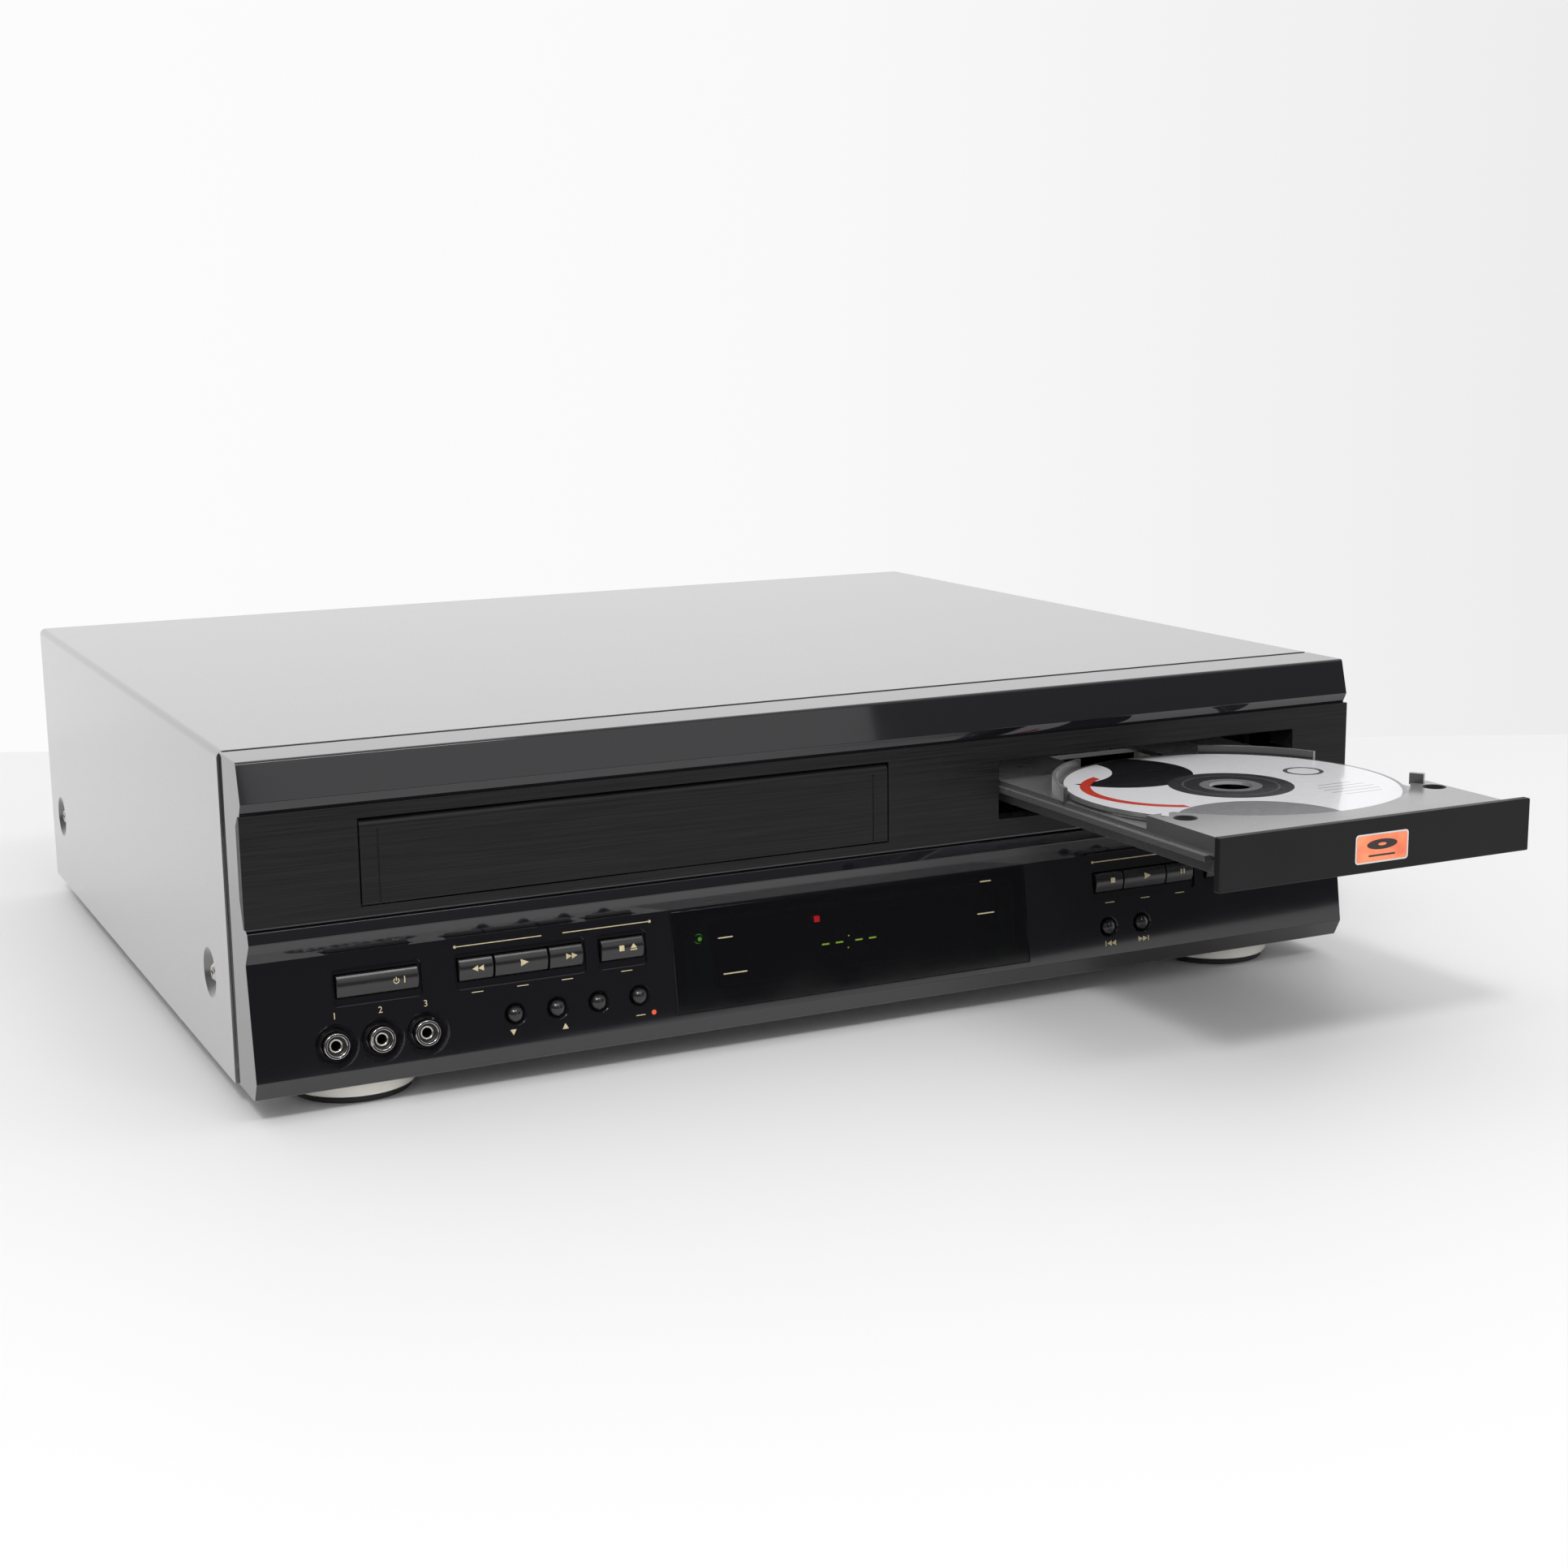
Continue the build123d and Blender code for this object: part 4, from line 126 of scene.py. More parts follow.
rear_paint, rear_tree, rear_shader = new_finish("rear_paint", (0.02, 0.02, 0.022), 0.42)
raise_grain(rear_tree, rear_shader, noise_on_object(rear_tree, 1400.0, 2.0), 0.25, 0.00008)
vary_roughness(rear_tree, rear_shader, noise_on_object(rear_tree, 30.0), 0.38, 0.5)
dress(["rear_panel"], rear_paint)

# ---------------------------------------------------------------- electronics
# Green glass-fibre boards with their parts, the tinned aerial can, and the black mains inlet
# and rear sockets. The boards show only through the vents and the slots.

board_green, board_tree, board_shader = new_finish("board_green", (0.03, 0.14, 0.05), 0.35)
traces = noise_on_object(board_tree, 260.0, 1.0, (1.0, 0.25, 1.0))
vary_colour(board_tree, board_shader, traces, (0.02, 0.10, 0.035), (0.05, 0.20, 0.07))
dress(["main_board", "power_board", "front_board"], board_green)

tinned, tinned_tree, tinned_shader = new_finish("tinned_can", (0.72, 0.71, 0.68), 0.28, 1.0)
vary_roughness(tinned_tree, tinned_shader, noise_on_object(tinned_tree, 120.0), 0.2, 0.4)
dress(["aerial_unit"], tinned)

socket_black, socket_tree, socket_shader = new_finish("socket_black", (0.025, 0.025, 0.026), 0.4)
raise_grain(socket_tree, socket_shader, noise_on_object(socket_tree, 2200.0), 0.2, 0.00005)
dress(["power_inlet", "rear_jacks"], socket_black)

# ---------------------------------------------------------------- mechanisms
# Pressed steel decks, a machined aluminium head drum and moulded parts in black and
# white, screwed to the chassis and hidden under the cover.

deck_steel, deck_tree, deck_shader = new_finish("deck_steel", (0.58, 0.58, 0.57), 0.34, 1.0)
rolled = noise_on_object(deck_tree, 500.0, 2.0, (0.06, 1.0, 1.0))
vary_roughness(deck_tree, deck_shader, rolled, 0.28, 0.42)
dress(["vcr_deck", "holder_frame", "cassette_holder", "capstan", "loader_motor"], deck_steel)

drum_metal, drum_tree, drum_shader = new_finish("drum_metal", (0.78, 0.79, 0.80), 0.2, 1.0)
turned = noise_on_object(drum_tree, 900.0, 2.0, (0.05, 0.05, 1.0))
vary_roughness(drum_tree, drum_shader, turned, 0.14, 0.3)
dress(["lower_drum", "upper_drum", "tape_guides", "tape_heads"], drum_metal)

mech_black, mech_tree, mech_shader = new_finish("mech_black", (0.022, 0.022, 0.024), 0.5)
raise_grain(mech_tree, mech_shader, noise_on_object(mech_tree, 1800.0), 0.3, 0.00006)
dress(
    ["loader_frame", "traverse_base", "turntable", "pickup_sled", "clamper", "supply_reel",
     "take_up_reel"],
    mech_black,
)

gear_white, gear_tree, gear_shader = new_finish("gear_white", (0.78, 0.76, 0.70), 0.45)
vary_colour(
    gear_tree, gear_shader, noise_on_object(gear_tree, 80.0), (0.72, 0.70, 0.62), (0.82, 0.80, 0.75)
)
dress(["tray_pinion", "pulley_gear", "motor_pulley"], gear_white)

rubber, rubber_tree, rubber_shader = new_finish("rubber", (0.018, 0.018, 0.018), 0.75)
raise_grain(rubber_tree, rubber_shader, noise_on_object(rubber_tree, 1500.0), 0.4, 0.00008)
dress(["pinch_roller", "tray_belt"], rubber)

# ---------------------------------------------------------------- feet
# Moulded feet: a cream lacquered ring that stands clear of the front, over a dark pad on
# the floor. The edges of these and of the other seen solids are broken a little.


def settled(piece):
    """The piece keeps the mesh that its modifiers make, and loses the modifiers."""
    sight = bpy.context.evaluated_depsgraph_get()
    mesh = bpy.data.meshes.new_from_object(piece.evaluated_get(sight))
    mesh.name = piece.name
    piece.modifiers.clear()
    piece.data = mesh


def ride_with_node(piece, name):
    """The piece moves with the body that its CAD node belongs to."""
    for body, members in frame["record"]["behaviour"]["bodies"].items():
        if name in members:
            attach(piece, body)


def eased(name, finishes, radius):
    """A copy of a CAD solid with its sharp edges broken, which stands for the node."""
    weld_gap = 0.000002
    flat_angle, sharp_angle = math.radians(0.4), math.radians(28.0)
    form = bmesh.new()
    form.from_mesh(nodes[name].data)
    bmesh.ops.remove_doubles(form, verts=form.verts, dist=weld_gap)
    bmesh.ops.dissolve_limit(form, angle_limit=flat_angle, verts=form.verts, edges=form.edges)
    mesh = bpy.data.meshes.new(name + "_rough")
    form.to_mesh(mesh)
    form.free()
    mesh.shade_smooth()
    mesh.set_sharp_from_angle(angle=sharp_angle)
    piece = bpy.data.objects.new(name + "_eased", mesh)
    bpy.context.scene.collection.objects.link(piece)
    bevel = piece.modifiers.new("broken_edges", "BEVEL")
    bevel.width = radius
    bevel.segments = 2
    bevel.limit_method = "ANGLE"
    bevel.angle_limit = sharp_angle
    bevel.use_clamp_overlap = True
    flat = piece.modifiers.new("flat_faces", "WEIGHTED_NORMAL")
    flat.keep_sharp = True
    flat.weight = 100
    settled(piece)
    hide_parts(name)
    for finish in finishes:
        piece.data.materials.append(finish)
    ride_with_node(piece, name)
    return piece


ring_lacquer, ring_tree, ring_shader = new_finish("ring_lacquer", (0.86, 0.84, 0.77), 0.22)
vary_roughness(ring_tree, ring_shader, noise_on_object(ring_tree, 60.0), 0.18, 0.3)
pad_black, pad_tree, pad_shader = new_finish("pad_black", (0.02, 0.02, 0.02), 0.6)
raise_grain(pad_tree, pad_shader, noise_on_object(pad_tree, 1500.0), 0.4, 0.0001)

pad_height = 0.0028
for foot_name in ("foot_front_left", "foot_front_right", "foot_rear_left", "foot_rear_right"):
    foot = eased(foot_name, [ring_lacquer, pad_black], radius=0.0004)
    pad_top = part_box(foot_name)[0][2] + pad_height
    for face in foot.data.polygons:
        if face.center[2] < pad_top:
            face.material_index = 1

# ---------------------------------------------------------------- moulded front
# One glossy black moulding: sill, sloping key panel, soffit, bevel and the band above the
# brushed panel. The polish carries fine wipe marks, and it reflects strongly at a slant.

gloss_black, gloss_tree, gloss_shader = new_finish("gloss_black", (0.006, 0.006, 0.008), 0.08)
gloss_shader.inputs["Coat Weight"].default_value = 0.7
gloss_shader.inputs["Coat Roughness"].default_value = 0.03
wipes = noise_on_object(gloss_tree, 40.0, 6.0, (0.3, 1.0, 1.0))
vary_roughness(gloss_tree, gloss_shader, wipes, 0.03, 0.08)

eased("front_bezel", [gloss_black], radius=0.0003)

# ---------------------------------------------------------------- brushed panel and flap
# Brushed charcoal panel round the two openings, and the cassette flap in the same finish.
# The brushing runs along X, so the grain is stretched that way.

brushed, brushed_tree, brushed_shader = new_finish("brushed_charcoal", (0.03, 0.03, 0.032), 0.34)
brushed_shader.inputs["Specular IOR Level"].default_value = 0.2
brushing = noise_on_object(brushed_tree, 2600.0, 4.0, (0.012, 1.0, 1.0))
vary_roughness(brushed_tree, brushed_shader, brushing, 0.28, 0.5)
vary_colour(brushed_tree, brushed_shader, brushing, (0.007, 0.007, 0.0075), (0.014, 0.014, 0.015))
raise_grain(brushed_tree, brushed_shader, brushing, 0.4, 0.00004)

for panel_name in ("trim_panel", "cassette_door"):
    eased(panel_name, [brushed], radius=0.0002)

# ---------------------------------------------------------------- display
# Smoked window flush in the key panel, with the display tube behind it: four unlit digits
# with a lit bar in each, a colon and a red square. Places are in millimetres on the panel.

mm = 0.001
panel_height, panel_lean = 37.8, 5.6
panel_foot = Vector((0, -119.15, 15.0)) * mm
panel_slope = math.atan2(panel_lean, panel_height)
panel_up = Vector((0, math.sin(panel_slope), math.cos(panel_slope)))
panel_out = Vector((0, -math.cos(panel_slope), math.sin(panel_slope)))


def panel_place(x, lift, out=0.0):
    """A point by the key panel: across it, up its slope and out of its face, in millimetres."""
    return panel_foot + Vector((x, 0, 0)) * mm + panel_up * lift * mm + panel_out * out * mm


def flat_mark(shapes, out_of_lift, thickness, steps=0.0):
    """A thin closed mesh of flat outlines laid on the panel or along a key's bowed face."""
    sunk = 0.01
    form = bmesh.new()
    for outline in shapes:
        corners = [form.verts.new((x, lift, 0)) for x, lift in outline]
        form.faces.new(corners)
    if steps:
        lifts = [vert.co.y for vert in form.verts]
        level = min(lifts) + steps
        while level < max(lifts):
            everything = form.verts[:] + form.edges[:] + form.faces[:]
            bmesh.ops.bisect_plane(
                form, geom=everything, plane_co=(0, level, 0), plane_no=(0, 1, 0)
            )
            level += steps
    lower = form.faces[:]
    raised = bmesh.ops.extrude_face_region(form, geom=lower, use_keep_orig=True)
    tops = {item for item in raised["geom"] if isinstance(item, bmesh.types.BMVert)}
    for vert in form.verts:
        height = thickness if vert in tops else -sunk
        x, lift = vert.co.x, vert.co.y
        vert.co = panel_place(x, lift, out_of_lift(lift) + height)
    bmesh.ops.recalc_face_normals(form, faces=form.faces)
    mesh = bpy.data.meshes.new("mark")
    form.to_mesh(mesh)
    form.free()
    return mesh


def add_piece(name, mesh, material, node_name):
    """A finished mesh becomes a piece that moves with a node's body."""
    mesh.materials.append(material)
    piece = bpy.data.objects.new(name, mesh)
    bpy.context.scene.collection.objects.link(piece)
    ride_with_node(piece, node_name)
    return piece


def oval_outline(x, lift, half_width, half_height, count):
    """An outline with this many corners that is wider than high, or the reverse."""
    turns = [2 * math.pi * index / count for index in range(count)]
    return [
        (x + half_width * math.cos(turn), lift + half_height * math.sin(turn)) for turn in turns
    ]


def disc_outline(x, lift, radius, count=20):
    """A round outline."""
    return oval_outline(x, lift, radius, radius, count)


def bar(x0, lift0, x1, lift1):
    """An upright rectangle between two corners."""
    return [(x0, lift0), (x1, lift0), (x1, lift1), (x0, lift1)]


smoke, smoke_tree, smoke_shader = new_finish("smoked_window", (0.004, 0.004, 0.005), 0.05)
smoke_shader.inputs["Alpha"].default_value = 0.74
vary_roughness(smoke_tree, smoke_shader, noise_on_object(smoke_tree, 35.0, 5.0), 0.03, 0.09)
eased("display_window", [smoke], radius=0.0003)

tube_glass, tube_tree, tube_shader = new_finish("tube_glass", (0.008, 0.009, 0.009), 0.15)
vary_roughness(tube_tree, tube_shader, noise_on_object(tube_tree, 90.0), 0.1, 0.2)
dress(["display_module"], tube_glass)

tube_face = -4.28
digit_width, digit_height, digit_lean = 4.0, 8.6, 0.10
digit_starts = [-11.4, -5.9, 1.9, 7.4]
digit_foot = 14.2
bar_half = 0.28
unlit_height, lit_height = 0.02, 0.03


def glow_finish(name, colour, strength, noise_scale):
    """A glowing phosphor or lamp, a little uneven."""
    material, tree, shader = new_finish(name, colour, 0.5)
    shader.inputs["Emission Color"].default_value = (*colour, 1.0)
    shader.inputs["Emission Strength"].default_value = strength
    vary_roughness(tree, shader, noise_on_object(tree, noise_scale), 0.4, 0.6)
    return material


def digit_bar(start, index):
    """One segment of a leaning digit: 0 foot, 1 middle, 2 head, 3 to 6 the uprights."""
    wide, tall, half = digit_width, digit_height / 2, bar_half
    if index < 3:
        level = index * tall
        outline = bar(half * 2, level - half, wide - half * 2, level + half)
    else:
        side = wide if index in (4, 6) else 0.0
        level = tall if index > 4 else 0.0
        outline = bar(side - half, level + half * 2, side + half, level + tall - half * 2)
    return [(start + x + lift * digit_lean, digit_foot + lift) for x, lift in outline]


def tube_level(lift):
    """The face of the display tube, which is as far in at every height."""
    return tube_face


unlit, unlit_tree, unlit_shader = new_finish("unlit_phosphor", (0.05, 0.06, 0.06), 0.5)
vary_roughness(unlit_tree, unlit_shader, noise_on_object(unlit_tree, 900.0), 0.4, 0.6)
lit_green = glow_finish("lit_green", (0.36, 0.62, 0.06), 7.0, 900.0)
lit_red = glow_finish("lit_red", (0.85, 0.02, 0.03), 5.5, 900.0)

unlit_shapes = []
lit_shapes = []
middle_bar = 1
for start in digit_starts:
    for index in range(7):
        shapes = lit_shapes if index == middle_bar else unlit_shapes
        shapes.append(digit_bar(start, index))
for colon_x, colon_lift in ((-0.1, 16.2), (0.4, 20.4)):
    lit_shapes.append(disc_outline(colon_x, colon_lift, bar_half, 8))
for name, shapes, height, finish in (
    ("unlit_digits", unlit_shapes, unlit_height, unlit),
    ("lit_bars", lit_shapes, lit_height, lit_green),
    ("red_square", [bar(-12.8, 26.7, -10.6, 28.9)], lit_height, lit_red),
):
    add_piece(name, flat_mark(shapes, tube_level, height), finish, "display_module")

# ---------------------------------------------------------------- keys and buttons
# Glossy black caps, bowed from foot to head so that they catch a bright line, and round
# domes in shallow dishes. They are sprung on the switches of the front board.

key_gloss, key_tree, key_shader = new_finish("key_gloss", (0.006, 0.006, 0.007), 0.15)
key_shader.inputs["Coat Weight"].default_value = 0.6
key_shader.inputs["Coat Roughness"].default_value = 0.2
vary_roughness(key_tree, key_shader, noise_on_object(key_tree, 120.0, 4.0), 0.22, 0.3)

key_names = [
    "power_key", "rewind_key", "vcr_play_key", "fast_forward_key", "stop_eject_key",
    "disc_stop_key", "disc_play_key", "disc_pause_key", "open_close_key",
]
button_names = [
    "channel_down_button", "channel_up_button", "vcr_tv_button", "record_button",
    "skip_back_button", "skip_forward_button",
]
for key_name in key_names + button_names:
    eased(key_name, [key_gloss], radius=0.0003)

# ---------------------------------------------------------------- printed signs
# Pale gold print of the usual transport signs on the keys and by the buttons, thin rules
# over the two rows of keys, and plain numbers over the front sockets. No words.

gold, gold_tree, gold_shader = new_finish("gold_print", (0.52, 0.44, 0.27), 0.45)
gold_noise = noise_on_object(gold_tree, 600.0)
vary_colour(gold_tree, gold_shader, gold_noise, (0.46, 0.38, 0.22), (0.60, 0.52, 0.33))

key_arc_low, key_arc_top, key_arc_high = (23.85, -0.2), (28.1, 1.3), (31.15, 0.4)


def circle_through(first, second, third):
    """Centre and radius of the circle through three points."""
    (ax, ay), (bx, by), (cx, cy) = first, second, third
    a2, b2, c2 = ax**2 + ay**2, bx**2 + by**2, cx**2 + cy**2
    share = 2 * (ax * (by - cy) + bx * (cy - ay) + cx * (ay - by))
    middle_x = (a2 * (by - cy) + b2 * (cy - ay) + c2 * (ay - by)) / share
    middle_y = (a2 * (cx - bx) + b2 * (ax - cx) + c2 * (bx - ax)) / share
    return middle_x, middle_y, math.hypot(ax - middle_x, ay - middle_y)


arc_lift, arc_out, arc_radius = circle_through(key_arc_low, key_arc_top, key_arc_high)


def key_face(lift):
    """How far a key's bowed face stands out at this height up the panel."""
    return arc_out + math.sqrt(arc_radius**2 - (lift - arc_lift) ** 2)


def panel_face(lift):
    """The panel's own face, from which the other heights are measured."""
    return 0.0


def pointer(x, lift, width, height, turned=1):
    """A triangle that points right, or left where turned is -1."""
    half = width / 2 * turned
    shape = [(x - half, lift - height / 2), (x + half, lift), (x - half, lift + height / 2)]
    return shape if turned > 0 else shape[::-1]


def upward(x, lift, width, height, turned=1):
    """A triangle that points up, or down where turned is -1."""
    half = height / 2 * turned
    shape = [(x - width / 2, lift - half), (x + width / 2, lift - half), (x, lift + half)]
    return shape if turned > 0 else shape[::-1]


def fast(x, lift, turned):
    """Two pointers one after the other."""
    size = 2.0
    return [pointer(x + side * size / 2, lift, size, size, turned) for side in (-1, 1)]


def eject(x, lift):
    """The eject sign: a triangle over a bar."""
    width, height, above = 2.4, 1.5, 0.4
    bar_low, bar_high = 1.1, 0.65
    line = bar(x - width / 2, lift - bar_low, x + width / 2, lift - bar_high)
    return [upward(x, lift + above, width, height), line]


def power_sign(x, lift):
    """A broken ring with a bar in its gap."""
    line_half, line_height = 0.16, 1.2
    inside, outside = 0.72, 1.02
    start, sweep, pieces = math.radians(125), math.radians(290), 14
    shapes = [bar(x - line_half, lift, x + line_half, lift + line_height)]
    for index in range(pieces):
        first = start + sweep * index / pieces
        last = start + sweep * (index + 1) / pieces
        corners = [(inside, first), (outside, first), (outside, last), (inside, last)]
        shapes.append([(x + r * math.cos(a), lift + r * math.sin(a)) for r, a in corners])
    return shapes


key_signs = {
    "power_key": power_sign(-166.6, 27.2) + [bar(-164.0, 26.2, -163.65, 28.4)],
    "rewind_key": fast(-138.9, 27.6, -1),
    "vcr_play_key": [pointer(-122.7, 27.5, 2.8, 2.4)],
    "fast_forward_key": fast(-106.1, 27.5, 1),
    "stop_eject_key": [bar(-89.0, 26.7, -87.2, 28.6)] + eject(-83.8, 27.7),
    "disc_stop_key": [bar(108.3, 27.0, 110.2, 28.9)],
    "disc_play_key": [pointer(124.8, 28.0, 2.8, 2.4)],
    "disc_pause_key": [bar(139.7, 26.9, 140.3, 28.7), bar(141.0, 26.9, 141.6, 28.7)],
    "open_close_key": eject(159.75, 27.8),
}
print_height, bow_step = 0.03, 0.3
for key_name, shapes in key_signs.items():
    sign = flat_mark(shapes, key_face, print_height, bow_step)
    add_piece("sign_" + key_name, sign, gold, key_name)

rule_lift, rule_width, dot_radius = 35.2, 0.3, 0.5
panel_signs = []
for left, right in ((-145.9, -115.8), (-108.3, -76.9), (101.5, 131.6), (139.1, 170.4)):
    panel_signs.append(bar(left, rule_lift, right, rule_lift + rule_width))
for end_x in (-145.9, -76.9, 101.5, 170.4):
    panel_signs.append(disc_outline(end_x, rule_lift + rule_width / 2, dot_radius, 12))
panel_signs.append(upward(-128.2, 4.65, 2.2, 1.9, -1))
panel_signs.append(upward(-109.9, 4.2, 2.2, 1.9))
panel_signs += fast(107.6, 4.44, -1) + [bar(104.9, 3.5, 105.3, 5.4)]
panel_signs += fast(121.6, 4.44, 1) + [bar(123.9, 3.5, 124.3, 5.4)]
dash_half, dash_low, dash_high = 2.0, 19.6, 19.85
for key_x in (-139.4, -123.65, -107.9, -86.5, 108.0, 123.75, 139.5, 159.75):
    panel_signs.append(bar(key_x - dash_half, dash_low, key_x + dash_half, dash_high))
panel_signs.append(bar(-84.3, 3.9, -81.0, 4.2))
add_piece("signs_panel", flat_mark(panel_signs, panel_face, print_height), gold, "front_bezel")

jack_start, jack_pitch, jack_count = -187.5, 15.15, 3
number_size, number_depth = 0.0030, 0.00002
number_lift, number_out = 17.4, 0.01
panel_stand = Matrix((Vector((1, 0, 0)), panel_up, panel_out)).transposed().to_4x4()
for index in range(jack_count):
    letters = bpy.data.curves.new("number", "FONT")
    letters.body = str(index + 1)
    letters.size = number_size
    letters.align_x = "CENTER"
    letters.extrude = number_depth
    holder = bpy.data.objects.new("number", letters)
    bpy.context.scene.collection.objects.link(holder)
    number_mesh = bpy.data.meshes.new_from_object(
        holder.evaluated_get(bpy.context.evaluated_depsgraph_get())
    )
    bpy.data.objects.remove(holder)
    number_place = panel_place(jack_start + index * jack_pitch, number_lift, number_out)
    number_mesh.transform(Matrix.Translation(number_place) @ panel_stand)
    number_mesh.materials.clear()
    add_piece("number_%d" % (index + 1), number_mesh, gold, "front_bezel")

record_red, red_tree, red_shader = new_finish("record_red", (0.75, 0.10, 0.03), 0.4)
vary_roughness(red_tree, red_shader, noise_on_object(red_tree, 700.0), 0.35, 0.5)
red_dot = flat_mark([disc_outline(-77.8, 4.37, radius=0.85)], panel_face, print_height)
add_piece("record_dot", red_dot, record_red, "front_bezel")

window_signs = [bar(-52.0, 26.2, -46.5, 26.6), bar(-51.0, 13.6, -42.0, 14.0)]
window_signs += [bar(53.0, 33.6, 57.5, 34.0), bar(51.0, 22.0, 58.0, 22.4)]
window_print = flat_mark(window_signs, panel_face, print_height)
add_piece("signs_window", window_print, gold, "display_window")

# ---------------------------------------------------------------- status lamp
# A small green lamp on the front board, a flattened dome that shines through the smoked
# window at its left end.

lamp_green = glow_finish("lamp_green", (0.22, 0.75, 0.05), 4.0, 1200.0)
lamp_x, lamp_lift, lamp_radius, lamp_foot = -57.9, 26.65, 1.7, -3.35
dome_share = 0.7
form = bmesh.new()
bmesh.ops.create_uvsphere(form, u_segments=20, v_segments=10, radius=lamp_radius * mm)
for vert in form.verts:
    side_x, side_up, side_out = vert.co
    dome = max(side_out, 0.0) * dome_share
    vert.co = panel_place(lamp_x, lamp_lift, lamp_foot + dome / mm) + (
        Vector((side_x, 0, 0)) + panel_up * side_up
    )
bmesh.ops.remove_doubles(form, verts=form.verts, dist=0.000005)
bmesh.ops.recalc_face_normals(form, faces=form.faces)
lamp_mesh = bpy.data.meshes.new("status_lamp")
form.to_mesh(lamp_mesh)
form.free()
lamp_mesh.shade_smooth()
add_piece("status_lamp", lamp_mesh, lamp_green, "front_board")

# ---------------------------------------------------------------- sockets
# The three phono sockets in the front: nickel sleeves round black insulators, each with a
# contact ring in its middle. The rear sockets stay black.


def ring_group(name):
    """Rings in a row: a square section swept round a circle, once for each place."""
    tree = bpy.data.node_groups.new(name, "GeometryNodeTree")
    face = tree.interface
    face.new_socket("Geometry", in_out="INPUT", socket_type="NodeSocketGeometry")
    sizes = {"Count": "NodeSocketInt"}
    for size_name in ("Pitch", "Middle Radius", "Wall", "Depth"):
        sizes[size_name] = "NodeSocketFloat"
    sizes["Finish"] = "NodeSocketMaterial"
    for size_name, kind in sizes.items():
        face.new_socket(size_name, in_out="INPUT", socket_type=kind)
    face.new_socket("Geometry", in_out="OUTPUT", socket_type="NodeSocketGeometry")
    given = tree.nodes.new("NodeGroupInput")
    made = tree.nodes.new("NodeGroupOutput")
    path = tree.nodes.new("GeometryNodeCurvePrimitiveCircle")
    path.inputs["Resolution"].default_value = 32
    section = tree.nodes.new("GeometryNodeCurvePrimitiveQuadrilateral")
    sweep = tree.nodes.new("GeometryNodeCurveToMesh")
    row = tree.nodes.new("GeometryNodeMeshLine")
    step = tree.nodes.new("ShaderNodeCombineXYZ")
    place = tree.nodes.new("GeometryNodeInstanceOnPoints")
    real = tree.nodes.new("GeometryNodeRealizeInstances")
    finish = tree.nodes.new("GeometryNodeSetMaterial")
    join = tree.links.new
    join(given.outputs["Middle Radius"], path.inputs["Radius"])
    join(given.outputs["Wall"], section.inputs["Width"])
    join(given.outputs["Depth"], section.inputs["Height"])
    join(path.outputs["Curve"], sweep.inputs["Curve"])
    join(section.outputs["Curve"], sweep.inputs["Profile Curve"])
    join(given.outputs["Pitch"], step.inputs["X"])
    join(given.outputs["Count"], row.inputs["Count"])
    join(step.outputs["Vector"], row.inputs["Offset"])
    join(row.outputs["Mesh"], place.inputs["Points"])
    join(sweep.outputs["Mesh"], place.inputs["Instance"])
    join(place.outputs["Instances"], real.inputs["Geometry"])
    join(real.outputs["Geometry"], finish.inputs["Geometry"])
    join(given.outputs["Finish"], finish.inputs["Material"])
    join(finish.outputs["Geometry"], made.inputs["Geometry"])
    return tree


ring_row = ring_group("ring_row")


def rings(name, place, node_name, **values):
    """Rings made by the tree, set in place as a plain mesh."""
    carrier = bpy.data.objects.new(name, bpy.data.meshes.new(name))
    bpy.context.scene.collection.objects.link(carrier)
    modifier = carrier.modifiers.new("rings", "NODES")
    modifier.node_group = ring_row
    for socket in ring_row.interface.items_tree:
        key = socket.name.replace(" ", "_").lower()
        if socket.in_out == "INPUT" and key in values:
            modifier[socket.identifier] = values[key]
    settled(carrier)
    carrier.data.transform(place)
    form = bmesh.new()
    form.from_mesh(carrier.data)
    bmesh.ops.recalc_face_normals(form, faces=form.faces)
    form.to_mesh(carrier.data)
    form.free()
    ride_with_node(carrier, node_name)
    return carrier


nickel, nickel_tree, nickel_shader = new_finish("nickel", (0.80, 0.78, 0.74), 0.16, 1.0)
vary_roughness(nickel_tree, nickel_shader, noise_on_object(nickel_tree, 700.0), 0.1, 0.25)
insulator, insulator_tree, insulator_shader = new_finish("insulator", (0.01, 0.01, 0.01), 0.35)
vary_roughness(insulator_tree, insulator_shader, noise_on_object(insulator_tree, 900.0), 0.3, 0.45)

jack_lift, sleeve_inside, insulator_back = 8.6, 3.15, -3.5
contact_out, contact_radius, contact_wire = -1.4, 1.95, 0.5
front_jacks = eased("front_jacks", [nickel, insulator], radius=0.0002)
for face in front_jacks.data.polygons:
    middle = face.center - panel_foot
    column = round((middle.x / mm - jack_start) / jack_pitch)
    across = middle.x / mm - jack_start - column * jack_pitch
    along = middle.dot(panel_up) / mm - jack_lift
    inwards = middle.dot(panel_out) / mm
    if math.hypot(across, along) < sleeve_inside or inwards < insulator_back:
        face.material_index = 1

rings(
    "front_contact_rings",
    Matrix.Translation(panel_place(jack_start, jack_lift, contact_out)) @ panel_stand,
    "front_jacks",
    count=jack_count, pitch=jack_pitch * mm, middle_radius=contact_radius * mm,
    wall=contact_wire * mm, depth=contact_wire * mm, finish=nickel,
)

# ---------------------------------------------------------------- disc tray
# Satin black tray with its clipped door. Its deck is smooth enough to mirror the wall at a
# slant, and the door is duller.

